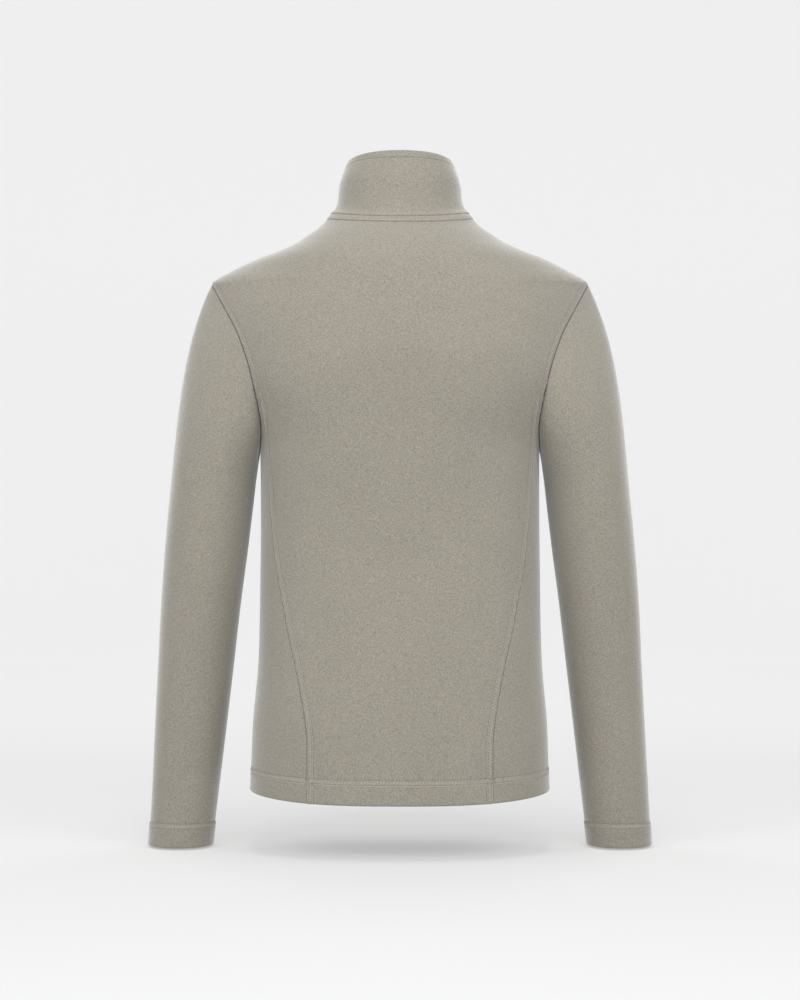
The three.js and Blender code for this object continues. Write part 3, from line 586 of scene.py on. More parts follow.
def backlit_acrylic():
    """Opal acrylic, cast and matt, lit through from behind: an even pale ground that still takes shadow."""
    material, tree, shader = new_material("backlit_opal_acrylic")
    place = add_node(tree, "ShaderNodeTexCoord").outputs["Object"]
    grain = add_node(tree, "ShaderNodeTexNoise", [("Vector", place)], Scale=cells(0.8 * MM), Detail=1)
    relief = add_node(
        tree, "ShaderNodeBump", [("Height", grain.outputs["Fac"])], Strength=0.02, Distance=0.0001
    )
    tree.links.new(relief.outputs[0], shader.inputs["Normal"])
    shader.inputs["Base Color"].default_value = (*colours().floor, 1)
    shader.inputs["Roughness"].default_value = 1.0
    shader.inputs["Specular IOR Level"].default_value = 0.0
    shader.inputs["Emission Color"].default_value = (1, 1, 1, 1)
    across = add_node(tree, "ShaderNodeSeparateXYZ", [("Vector", place)])
    glow = add_node(
        tree,
        "ShaderNodeMapRange",
        [("Value", across.outputs["Y"])],
        From_Min=-1.0,
        From_Max=-3.6,
        To_Min=FLOOR_GLOW,
        To_Max=WALL_GLOW,
    )
    tree.links.new(glow.outputs[0], shader.inputs["Emission Strength"])
    return material


MATERIALS = {}


def finish(kind):
    """The material that a function makes, made once."""
    if kind not in MATERIALS:
        MATERIALS[kind] = kind()
    return MATERIALS[kind]


def new_object(name, bm, material, smooth_angle=40):
    mesh = bpy.data.meshes.new(name)
    bm.to_mesh(mesh)
    bm.free()
    mesh.shade_smooth()
    mesh.set_sharp_from_angle(angle=math.radians(smooth_angle))
    piece = bpy.data.objects.new(name, mesh)
    bpy.context.scene.collection.objects.link(piece)
    mesh.materials.append(finish(material))
    return piece


def grid_normals(points, closed=False):
    """Unit normals of a grid of points: rows along the first axis, columns along the second."""
    if closed:
        around = np.roll(points, -1, axis=1) - np.roll(points, 1, axis=1)
    else:
        around = np.gradient(points, axis=1)
    return unit(np.cross(around, np.gradient(points, axis=0)))


def outward(points, normals, middle):
    """Turns normals away from a middle line."""
    facing = np.sum(normals * (points - middle), axis=-1, keepdims=True)
    return normals * np.where(np.median(facing) < 0, -1, 1)


def grid_mesh(points, facing, closed=False, seam_shade=None):
    """A bmesh grid through rows and columns of points in millimetres, turned to face a way."""
    rows, columns = points.shape[:2]
    steps = columns if closed else columns - 1
    bm = bmesh.new()
    bmesh.ops.create_grid(bm, x_segments=steps, y_segments=rows - 1, size=1)
    # Painted seam shade, kept on each point for the fleece to darken by.
    layer = bm.verts.layers.float.new("seam_shade")
    for vert in bm.verts:
        column = round((vert.co.x + 1) / 2 * steps) % columns
        row = round((vert.co.y + 1) / 2 * (rows - 1))
        vert.co = Vector(points[row, column]) * MM
        if seam_shade is not None:
            vert[layer] = seam_shade[row, column]
    if closed:
        bmesh.ops.remove_doubles(bm, verts=bm.verts, dist=1e-7)
    bm.normal_update()
    bm.faces.ensure_lookup_table()
    face = bm.faces[len(bm.faces) // 2]
    away = np.sum((points - np.array(face.calc_center_median()) / MM) ** 2, axis=-1)
    if face.normal.dot(Vector(facing[np.unravel_index(np.argmin(away), away.shape)])) < 0:
        bmesh.ops.reverse_faces(bm, faces=bm.faces)
    return bm


def clothed(name, grids, thickness, material, closed=False):
    """A sheet of cloth thickened inwards. A grid is (outside points, facing, painted seam shade)."""
    bm = bmesh.new()
    bm.verts.layers.float.new("seam_shade")
    for i, (points, facing, seam_shade) in enumerate(grids):
        part = grid_mesh(points, facing, closed and i == 0, seam_shade)
        mesh = bpy.data.meshes.new(name)
        part.to_mesh(mesh)
        part.free()
        bm.from_mesh(mesh)
        bpy.data.meshes.remove(mesh)
    piece = new_object(name, bm, material, 60)
    shell = piece.modifiers.new("cloth", "SOLIDIFY")
    shell.thickness = thickness * MM
    shell.offset = -1
    shell.use_quality_normals = True
    return piece


def surface_of(points, facing, closed=False):
    bm = grid_mesh(points, facing, closed)
    tree = BVHTree.FromBMesh(bm)
    bm.free()
    return tree


def evenly(start, stop, step):
    return np.linspace(start, stop, max(2, int(round(abs(stop - start) / step)) + 1))


def joined(*runs):
    """Rising or falling runs of values, end to end, without the doubled ends."""
    parts = [runs[0]] + [run[1:] for run in runs[1:]]
    return np.concatenate(parts)


def rows_at_lengths(place, ends, heights, near_first, near_last, middle_count):
    """Rows of points whose columns keep given distances from both edges and are even between."""
    dense = np.linspace(*ends, 500)
    grid = place(*np.broadcast_arrays(dense[None, :], heights[:, None]))
    step = np.linalg.norm(np.diff(grid, axis=1), axis=-1)
    run = np.concatenate([np.zeros((len(heights), 1)), np.cumsum(step, axis=1)], axis=1)
    shares = np.empty((len(heights), len(near_first) + middle_count + len(near_last)))
    for r in range(len(heights)):
        total = run[r, -1]
        squeeze = min(1, total / (2.5 * (near_first[-1] + near_last[-1])))
        first, last = near_first * squeeze, total - near_last[::-1] * squeeze
        middle = np.linspace(first[-1], last[0], middle_count + 2)[1:-1]
        shares[r] = np.interp(np.concatenate([first, middle, last]), run[r], dense)
    return place(shares, np.broadcast_to(heights[:, None], shares.shape))


# Distances from a seam at which a panel has columns: close beside it, then out past the cover stitch.
NEAR_SEAM = np.array([0, 0.5, 1.1, 1.9, 2.9, 4.2, 5.6, 6.6, 7.3, 8.2, 9.6, 12.0])
HEM_ROWS = joined(
    evenly(HEM, HEM + 4, 1),
    evenly(HEM + 4, HEM + 20, 4),
    evenly(HEM + 20, HEM + 34, 1),
    evenly(HEM + 34, -190, 5),
)
JOIN_ROWS = joined(HEM_ROWS, evenly(-190, JOIN, 2.6))
UPPER_ROWS = joined(JOIN_ROWS, evenly(JOIN, -84, 3.2), evenly(-84, ARMHOLE_HIGH, 1.4))
SHOULDER_TOP = joined(evenly(ARMHOLE_HIGH, 18, 1.3), evenly(18, NECK_SIDE, 0.45))
PANEL_ROWS = joined(UPPER_ROWS, SHOULDER_TOP)
COLLAR_RISES = evenly(0.02, 0.97, 0.02)  # the zip's rows on the collar

NEEDLE_NEAR, NEEDLE_FAR = 1.3, 6.9
HEM_NEEDLES = (2.6, -3.0)
BAND, NECK_RISE = 8.5, 1.3
COLLAR_EDGE = 6.5
ALLOWANCE_DEPTH = 2.4
FOLD_GAP = 0.25  # between a hem's two layers
COLLAR_LAYER, COLLAR_THICK = 1.35, 3.2  # one layer of the collar, and both with their padding
RIM_ROW = 0.985  # the collar's last row below its folded rim
CHEST = -90  # above it, panels face away from this height of the body's middle
# How dark the painted shade along each kind of seam line is.
SEAM_SHADE = {"cover": 0.6, "plain": 0.45, "neck": 0.35, "edge": 0.3}


def seam_lines():
    """The seams as close rows of points, in millimetres, left ones with their mirror images."""
    heights = evenly(HEM, JOIN, 1.5)
    upper = evenly(ARMHOLE_HIGH, NECK_SIDE, 1)
    round_arm = np.linspace(0, 2 * HALF_TURN, 420)
    lines = {
        "back_seam": hem_lifted(body_point(back_seam(heights), heights)),
        "front_seam": hem_lifted(body_point(front_seam(heights), heights)),
        "armhole": armhole_point(round_arm),
        "shoulder": body_point(np.full(len(upper), SIDE), upper),
        "zip": front_place(np.zeros(len(PANEL_ROWS)), PANEL_ROWS),
    }
    both = {name + "_left": line for name, line in lines.items()}
    both.update({name + "_right": mirrored(line) for name, line in lines.items()})
    start = HALF_TURN - math.asin(ZIP_EDGE / NECK_HALF)
    both["neck"] = neck_point(np.linspace(-start, start, 500))
    return both


LINES = seam_lines()


def distance_to(points, line):
    """The distance from each of many points to a line of close points."""
    flat = points.reshape(-1, 3)
    best = np.full(len(flat), 1e9)
    for chunk in np.array_split(line, max(1, len(line) // 60)):
        gap = flat[:, None, :] - chunk[None, :, :]
        best = np.minimum(best, np.min(np.einsum("ijk,ijk->ij", gap, gap), axis=1))
    return np.sqrt(best).reshape(points.shape[:-1])


def rolled_edge(distance, depth=1.0, width=1.3):
    """Cloth turning down into a seam."""
    return -depth * np.clip(1 - distance / width, 0, 1) ** 2


def groove(distance, at, depth=0.35, width=0.7):
    """A row of stitches drawn into the cloth."""
    return -depth * np.exp(-(((distance - at) / width) ** 2))


def mark(distance, at, width=0.7):
    """How much painted shade darkens the cloth along a row of stitches."""
    return np.exp(-(((distance - at) / width) ** 2))


def padded_band(distance, near, far, rise=0.7):
    """Cloth raised by the seam allowance that a cover stitch holds flat under it."""
    inside = smooth(distance, near - 1.6, near + 0.5) * (1 - smooth(distance, far - 0.5, far + 1.6))
    return rise * inside + groove(distance, near) + groove(distance, far)


# Creases on the left: start, end, width and depth in millimetres. Depth below 0 is a trough.
CREASES = (
    ((168, 62, -168), (128, 106, -222), 11, -1.5),
    ((170, 48, -196), (138, 90, -262), 9, 1.1),
    ((163, 44, -232), (146, 66, -300), 10, -1.2),
    ((172, -54, -176), (132, -104, -226), 12, -1.6),
    ((168, -40, -206), (140, -88, -272), 9, 1.1),
    ((176, 60, -140), (150, 96, -120), 12, -1.0),
    ((92, 98, -348), (-20, 107, -372), 22, -1.1),
    ((128, 70, -430), (40, 110, -404), 20, 0.9),
    ((150, -62, -356), (90, -104, -384), 18, -1.0),
    ((60, 118, -596), (118, 100, -566), 18, 0.8),
    ((184, -30, -330), (232, -56, -352), 9, -1.6),
    ((190, -28, -362), (240, -54, -372), 8, 1.1),
    ((184, -34, -392), (226, -60, -400), 9, -1.5),
    ((198, 40, -420), (246, 38, -396), 12, -0.9),
    ((214, 26, -606), (262, 12, -618), 10, -0.9),
    ((214, -52, -640), (262, -58, -624), 9, 0.8),
    ((184, 50, -236), (226, 46, -262), 12, -1.1),
    ((180, -50, -244), (222, -44, -276), 12, -1.2),
)
RIGHT_UNEVEN = 0.8  # the right side's creases are this deep next to the left's


def crease_relief(points):
    """How far creases move cloth in or out, the same on every panel that they cross."""
    relief = np.zeros(points.shape[:-1])
    for side, strength in ((1, 1.0), (-1, RIGHT_UNEVEN)):
        for start, end, width, depth in CREASES:
            a = np.array(start, float) * (side, 1, 1)
            b = np.array(end, float) * (side, 1, 1)
            along = np.sum((points - a) * (b - a), axis=-1) / np.sum((b - a) ** 2)
            gap = np.linalg.norm(points - (a + np.clip(along, 0, 1)[..., None] * (b - a)), axis=-1)
            fade = smooth(along, -0.35, 0.2) * (1 - smooth(along, 0.75, 1.3))
            relief += strength * depth * fade * np.exp(-((gap / width) ** 2))
    return relief


def slack(points):
    """The slow unevenness of cloth that hangs free."""
    x, y, z = points[..., 0], points[..., 1], points[..., 2]
    return 0.35 * np.sin(x / 31 + z / 67) + 0.3 * np.sin(z / 43 - x / 59 + y / 37)


def hem_fold(points, normals, depth, thick):
    """Rows for cloth turned up inside a level edge: round the fold, then up to the cut edge.

    points and normals are the grid's rows from the edge upwards. The rows come back cut edge first.
    """
    inner = thick + FOLD_GAP
    radius = (thick + inner) / 2
    lowest = points[0]
    rows = []
    for height in (depth, depth * 0.66, depth * 0.33, radius):
        z = lowest[..., 2] + height
        place = lift_to(points, z)
        facing = lift_to(normals, z, points)
        rows.append(place - unit(facing) * inner)
    for turn in (0.25, 0.5, 0.75):
        angle = turn * HALF_TURN
        base = lift_to(points, lowest[..., 2] + radius * (1 - math.sin(angle)))
        rows.append(base - unit(normals[0]) * (radius * (1 + math.cos(angle)) * inner / (2 * radius)))
    return rows


def lift_to(values, z, points=None):
    """Values of a grid's columns at a height, by the rows between which it lies."""
    points = values if points is None else points
    out = np.empty(values.shape[1:])
    for column in range(values.shape[1]):
        for axis in range(3):
            out[column, axis] = np.interp(z[column], points[:60, column, 2], values[:60, column, axis])
    return out


def hemmed(points, normals, thick):
    """A grid with its turned-up hem's rows put before its own, and where its own rows start."""
    fold = hem_fold(points, normals, sizes().hem / MM, thick)
    return np.concatenate([np.array(fold), points[1:]]), len(fold)


def shaped(points, normals, relief):
    return points + normals * relief[..., None]


def panel_relief(points, lines):
    """How far sewing, hem and creases move a body panel's outside, and how much painted shade darkens its
    seams and stitch rows.
    """
    relief = crease_relief(points) + slack(points)
    seam_shade = np.zeros(points.shape[:-1])
    for line, band in lines:
        distance = distance_to(points, LINES[line])
        relief = relief * smooth(distance, 0, 14) + rolled_edge(distance)
        # Painted shade along the seam line and its stitch rows.
        seam_shade = np.maximum(seam_shade, SEAM_SHADE[band] * mark(distance, 0, 0.9))
        if band == "cover":
            relief += padded_band(distance, NEEDLE_NEAR, NEEDLE_FAR)
            seam_shade = np.maximum(seam_shade, 0.75 * mark(distance, NEEDLE_FAR, 0.8))
        elif band == "neck":
            relief += NECK_RISE * (1 - smooth(distance, BAND - 0.9, BAND + 0.3))
            relief += groove(distance, BAND - 2, 0.35)
            seam_shade = np.maximum(seam_shade, 0.65 * mark(distance, BAND + 0.2, 0.5))
        elif band == "edge":
            relief += groove(distance, ZIP_NEEDLE, 0.4, 0.8)
            seam_shade = np.maximum(seam_shade, 0.4 * mark(distance, ZIP_NEEDLE))
    above = above_hem(points)
    hem = sizes().hem / MM
    relief += 0.45 * (1 - smooth(above, hem - 1, hem + 2)) * smooth(above, 0, 2)
    for rise in HEM_NEEDLES:
        relief += groove(above, hem + rise, 0.5, 0.8)
        seam_shade = np.maximum(seam_shade, 0.5 * mark(above, hem + rise))
    return relief, seam_shade


def seam_allowance(line, way, width=7.5, own=1.5):
    """A strip of cloth laid flat under the panel beside a seam, and just under the panel of its own."""
    normal = body_normal(line)
    across = unit(np.cross(normal, np.gradient(line, axis=0))) * way
    steps = np.array([-own, width / 3, width * 2 / 3, width])
    grid = line[:, None] + across[:, None] * steps[:, None] - (normal * ALLOWANCE_DEPTH)[:, None]
    return grid, np.broadcast_to(normal[:, None], grid.shape), np.zeros(grid.shape[:2])


OUTSIDES = {}


def body_piece(name, points, lines, node, allowances=()):
    """A body panel: its outside with relief, its turned-up hem, its seam allowances and its thickness."""
    middle = points * np.array([0, 0, 1])
    middle[..., 2] = np.minimum(middle[..., 2], CHEST)
    normals = outward(points, grid_normals(points), middle)
    relief, seam_shade = panel_relief(points, lines)
    outside = shaped(points, normals, relief)
    thick = sizes().cloth / MM
    grid, own = hemmed(outside, normals, thick)
    facing = np.concatenate([-normals[:1].repeat(own, axis=0), normals[1:]])
    # Painted seam shade, with the hem's folded rows taking the edge row's.
    full_shade = np.concatenate([seam_shade[:1].repeat(own, axis=0), seam_shade[1:]])
    piece = clothed(name, [(grid, facing, full_shade), *allowances], thick, brushed_fleece)
    OUTSIDES[name] = surface_of(outside, normals)
    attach(piece, "jacket")
    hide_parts(node)
    return piece


def side_reflected(points):
    """A right-hand grid from a left-hand one, its columns reversed so that it faces the same way."""
    return mirrored(points)[:, ::-1]


class JACKET_OT_body(bpy.types.Operator):
    """Lay the back, the side panels and the two fronts over their solids"""

    bl_idname = "jacket.body"
    bl_label = "Back, sides and fronts"

    def execute(self, context):
        gap = SEAM_GAP / 2
        edge = NEAR_SEAM + gap
        back = rows_at_lengths(back_place, (1, -1), PANEL_ROWS, edge, edge, 60)
        lines = [("armhole_left", "cover"), ("armhole_right", "cover"), ("neck", "neck")]
        lines += [("back_seam_left", "cover"), ("back_seam_right", "cover")]
        lines += [("shoulder_left", "plain"), ("shoulder_right", "plain")]
        piece = body_piece("back_cloth", back, lines, "back")

        side = rows_at_lengths(side_place, (0, 1), JOIN_ROWS, edge, edge, 20)
        for name, grid in (("left", side), ("right", side_reflected(side))):
            lines = [(f"{seam}_{name}", "plain") for seam in ("back_seam", "front_seam", "armhole")]
            under = []
            for seam, depth in ((f"back_seam_{name}", 124), (f"front_seam_{name}", -124)):
                under.append(seam_allowance(LINES[seam], allowance_way(seam, (0, depth, -400))))
            piece = body_piece(f"side_{name}_cloth", grid, lines, f"side_{name}", under)

        zip_edge = np.array([0, 0.5, 1.1, 2.0, 3.2, 4.6, 5.4, 6.0, 6.6, 7.6, 9.0, 11.0])
        front = rows_at_lengths(front_place, (0, 1), PANEL_ROWS, zip_edge, edge, 26)
        for name, grid in (("left", front), ("right", side_reflected(front))):
            lines = [(f"armhole_{name}", "cover"), ("neck", "neck"), (f"front_seam_{name}", "cover")]
            lines += [(f"shoulder_{name}", "plain"), (f"zip_{name}", "edge")]
            seam = "shoulder_" + name
            under = [seam_allowance(LINES[seam], allowance_way(seam, (100, 100, 0)))]
            piece = body_piece(f"front_{name}_cloth", grid, lines, f"front_{name}", under)
        return {"FINISHED"}


def allowance_way(line, towards):
    """1 or -1: the way across a seam that leads towards a place on the left half."""
    points = LINES[line]
    i = len(points) // 2
    goal = np.array(towards, float) * ((-1, 1, 1) if line.endswith("right") else (1, 1, 1))
    across = np.cross(body_normal(points[i]), points[i + 1] - points[i])
    return 1 if across @ (goal - points[i]) > 0 else -1


def sleeve_rows():
    """The sleeve's rows as runs, close together beside the armhole, the cuff's stitches and its edge."""

    def run_at(z):
        return 1 + (CAP_FOOT - z) / (CAP_FOOT - CUFF)

    cap = joined(evenly(0, 0.05, 0.006), evenly(0.05, 1, 0.025))
    arm = joined(evenly(CAP_FOOT, CUFF + 34, 5), evenly(CUFF + 34, CUFF + 18, 1))
    foot = joined(evenly(CUFF + 18, CUFF + 4, 3.5), evenly(CUFF + 4, CUFF, 1))
    return joined(cap, run_at(joined(arm, foot)))


class JACKET_OT_sleeves(bpy.types.Operator):
    """Set the sleeves into the armholes, with their turned-up cuffs"""

    bl_idname = "jacket.sleeves"
    bl_label = "Sleeves"

    def execute(self, context):
        columns = 120
        around = np.linspace(0, 2 * HALF_TURN, columns, endpoint=False)
        runs = sleeve_rows()
        grid = sleeve_place(*np.broadcast_arrays(around[None, :], runs[:, None]))
        middle = grid.mean(axis=1, keepdims=True)
        normals = outward(grid, grid_normals(grid, True), middle)
        for name in ("left", "right"):
            points, facing = (grid, normals) if name == "left" else (mirrored(grid), mirrored(normals))
            hole = "armhole_" + name
            distance = distance_to(points, LINES[hole])
            hem = sizes().hem / MM
            above = points[..., 2] - CUFF
            relief = (crease_relief(points) + slack(points) * 0.6) * smooth(distance, 0, 14)
            relief += rolled_edge(distance, 0.7, 1.5)
            # Painted shade along the armhole seam and the cuff's stitch rows.
            seam_shade = SEAM_SHADE["cover"] * mark(distance, 0, 0.9)
            cuff = 1 - smooth(above, hem - 1.5, hem + 2)
            relief = relief * (1 - 0.7 * cuff) + 1.15 * cuff * smooth(above, -1, 2)
            for rise in HEM_NEEDLES:
                relief += groove(above, hem + rise, 0.55, 0.8)
                seam_shade = np.maximum(seam_shade, 0.55 * mark(above, hem + rise))
            outside = shaped(points, facing, relief)
            thick = sizes().cloth / MM
            upward, upward_n, upward_p = outside[::-1], facing[::-1], seam_shade[::-1]
            full, own = hemmed(upward, upward_n, thick)
            full_n = np.concatenate([-upward_n[:1].repeat(own, axis=0), upward_n[1:]])
            full_p = np.concatenate([upward_p[:1].repeat(own, axis=0), upward_p[1:]])
            ring = LINES[hole]
            under = seam_allowance(ring, allowance_way(hole, (0, 0, -146)), own=0.6)
            piece = clothed(
                f"sleeve_{name}_cloth", [(full, full_n, full_p), under], thick, brushed_fleece, closed=True
            )
            OUTSIDES[f"sleeve_{name}_cloth"] = surface_of(outside, facing, True)
            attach(piece, "jacket")
            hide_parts(f"sleeve_{name}")
        return {"FINISHED"}


class JACKET_OT_collar(bpy.types.Operator):
    """Stand the self-faced collar on the neck seam"""

    bl_idname = "jacket.collar"
    bl_label = "Collar"

    def execute(self, context):
        rises = joined(evenly(0, 0.06, 0.012), evenly(0.06, 0.86, 0.05), evenly(0.86, RIM_ROW, 0.0125))
        columns = joined(evenly(-1, -0.94, 0.006), evenly(-0.94, 0.94, 0.0125), evenly(0.94, 1, 0.006))
        grid = collar_place(*np.broadcast_arrays(columns[None, :], rises[:, None]))
        middle = grid * np.array([0, 0, 1]) + np.array([0, RIM_MIDDLE, 0])
        normals = outward(grid, grid_normals(grid), middle)
        apart = COLLAR_THICK - COLLAR_LAYER
        below_rim = np.linalg.norm(grid - grid[-1:], axis=-1)
        above_seam = np.linalg.norm(grid - grid[:1], axis=-1)
        from_zip = np.minimum(distance_to(grid, grid[:, 0]), distance_to(grid, grid[:, -1]))
        relief = slack(grid) * 0.4 * smooth(below_rim, 0, 20) * smooth(above_seam, 0, 14)
        relief += rolled_edge(above_seam, 0.5, 1.4) + groove(below_rim, COLLAR_EDGE, 0.5, 0.8)
        relief += rolled_edge(from_zip, 0.5, 1.2) + groove(from_zip, ZIP_NEEDLE, 0.4, 0.8)
        # Painted shade along the neck seam and the collar's stitch rows.
        seam_shade = np.maximum(SEAM_SHADE["neck"] * mark(above_seam, 0, 0.9), 0.5 * mark(below_rim, COLLAR_EDGE))
        seam_shade = np.maximum(seam_shade, 0.4 * mark(from_zip, ZIP_NEEDLE))
        outside = shaped(grid, normals, relief)
        depth = 0.5 + 0.5 * smooth(from_zip, 9, 15)
        over, layers = [], (0.0, 0.25, 0.5, 0.75, 1.0)
        for share in layers:
            angle = share * HALF_TURN
            width = apart * depth[-1][:, None]
            inward = normals[-1] * (1 - math.cos(angle)) / 2 * width
            up = np.array([0, 0, 1.0]) * math.sin(angle) * 1.1
            over.append(outside[-1] - inward + up)
        inside = outside - normals * (apart * depth)[..., None]
        full = np.concatenate([outside[:-1], np.array(over), inside[::-1][1:]])
        full_n = np.concatenate([normals[:-1], normals[-1:].repeat(len(over), axis=0), -normals[::-1][1:]])
        empty = np.zeros((len(full) - len(seam_shade), seam_shade.shape[1]))
        full_p = np.concatenate([seam_shade, empty])
        under = seam_allowance(LINES["neck"], allowance_way("neck", (0, 110, -100)), 8.0, 0.2)
        piece = clothed("collar_cloth", [(full, full_n, full_p), under], COLLAR_LAYER, brushed_fleece)
        OUTSIDES["collar_cloth"] = surface_of(outside, normals)
        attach(piece, "jacket")
        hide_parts("collar")
        return {"FINISHED"}


def stitch_template():
    """One stitch of thread: a small lozenge, unit long, that dips into the cloth at both ends."""
    bm = bmesh.new()
    bmesh.ops.create_uvsphere(bm, u_segments=6, v_segments=4, radius=0.5)
    bmesh.ops.rotate(bm, verts=bm.verts, cent=(0, 0, 0), matrix=Matrix.Rotation(SIDE, 3, "Y"))
    return bm


def strand_template():
    """A straight run of thread, unit long, with four sides."""
    bm = bmesh.new()
    bmesh.ops.create_cone(
        bm, cap_ends=True, cap_tris=False, segments=4, radius1=0.5, radius2=0.5, depth=1
    )
    bmesh.ops.rotate(bm, verts=bm.verts, cent=(0, 0, 0), matrix=Matrix.Rotation(SIDE, 3, "Y"))
    return bm


def copies_joined(name, template, matrices, material, angle=40):
    """Many copies of one small shape as a single mesh."""
    verts = np.array([tuple(v.co) for v in template.verts])
    template.verts.ensure_lookup_table()
    faces = [[v.index for v in face.verts] for face in template.faces]
    template.free()
    stack = np.array([[list(row) for row in m] for m in matrices])
    placed = np.einsum("mij,vj->mvi", stack[:, :3, :3], verts) + stack[:, None, :3, 3]
    count = len(verts)
    all_faces = [[i + count * m for i in face] for m in range(len(matrices)) for face in faces]
    mesh = bpy.data.meshes.new(name)
    mesh.from_pydata(placed.reshape(-1, 3).tolist(), [], all_faces)
    bm = bmesh.new()
    bm.from_mesh(mesh)
    bmesh.ops.recalc_face_normals(bm, faces=bm.faces)
    bpy.data.meshes.remove(mesh)
    return new_object(name, bm, material, angle)


def along_line(line, step):
    """Points at an even step along a line."""
    lengths = np.concatenate([[0], np.cumsum(np.linalg.norm(np.diff(line, axis=0), axis=1))])
    count = max(2, int(round(lengths[-1] / step)) + 1)
    at = np.linspace(0, lengths[-1], count)
    return np.stack([np.interp(at, lengths, line[:, i]) for i in range(3)], axis=1)


def resting(line, surface):
    """Where points in millimetres come to rest on a surface, with its normals there."""
    found = [surface.find_nearest(Vector(p) * MM) for p in line]
    return [(place, normal) for place, normal, _, _ in found]


def beside(line, offset, surface, facing=None):
    """A line moved sideways over a surface by an offset in millimetres, resting on that surface."""
    facing = body_normal(line) if facing is None else facing
    across = unit(np.cross(facing, np.gradient(line, axis=0)))
    return resting(line + across * offset, surface)


def needle_row(rail, share=0.78):
    """Places for stitches along a rail of resting points."""
    thread = sizes().thread
    found = []
    for (a, na), (b, nb) in zip(rail[:-1], rail[1:]):
        length = (b - a).length
        if length < 1e-6:
            continue
        x = (b - a).normalized()
        up = (na + nb).normalized()
        y = up.cross(x).normalized()
        z = x.cross(y)
        centre = (a + b) / 2 + z * thread * 0.22
        turn = Matrix((x, y, z)).transposed().to_4x4()
        scale = Matrix.Diagonal((length * share, thread, thread * 0.8, 1))
        found.append(Matrix.Translation(centre) @ turn @ scale)
    return found


def strand(start, end, thickness):
    """The place of a thread between two resting points."""
    (a, a_normal), (b, b_normal) = start, end
    x = (b - a).normalized()
    y = (a_normal + b_normal).cross(x).normalized()
    z = x.cross(y)
    turn = Matrix((x, y, z)).transposed().to_4x4()
    scale = Matrix.Diagonal(((b - a).length, thickness, thickness * 0.7, 1))
    return Matrix.Translation((a + b) / 2 + z * thickness * 0.35) @ turn @ scale


def cover_threads(first, second, surface):
    """Places for the thread that crosses from one needle row to the other and back, over the band."""
    thread = sizes().thread * 0.6
    found = []
    for i in range(min(len(first), len(second)) - 1):
        for start, end in ((first[i], second[i]), (second[i], first[i + 1])):
            middle = resting([(start[0] + end[0]) / 2 / MM], surface)[0]
            found += [strand(start, middle, thread), strand(middle, end, thread)]
    return found


def sewn(name, stitches, strands):
    piece = copies_joined(name, stitch_template(), stitches, spun_thread)
    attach(piece, "jacket")
    if strands:
        cover = copies_joined(name + "_cover", strand_template(), strands, spun_thread, 30)
        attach(cover, "jacket")


def cover_stitch(line, near, far, surface):
    step = sizes().stitch / MM
    path = along_line(line, step)
    first, second = beside(path, near, surface), beside(path, far, surface)
    return needle_row(first) + needle_row(second), cover_threads(first, second, surface)


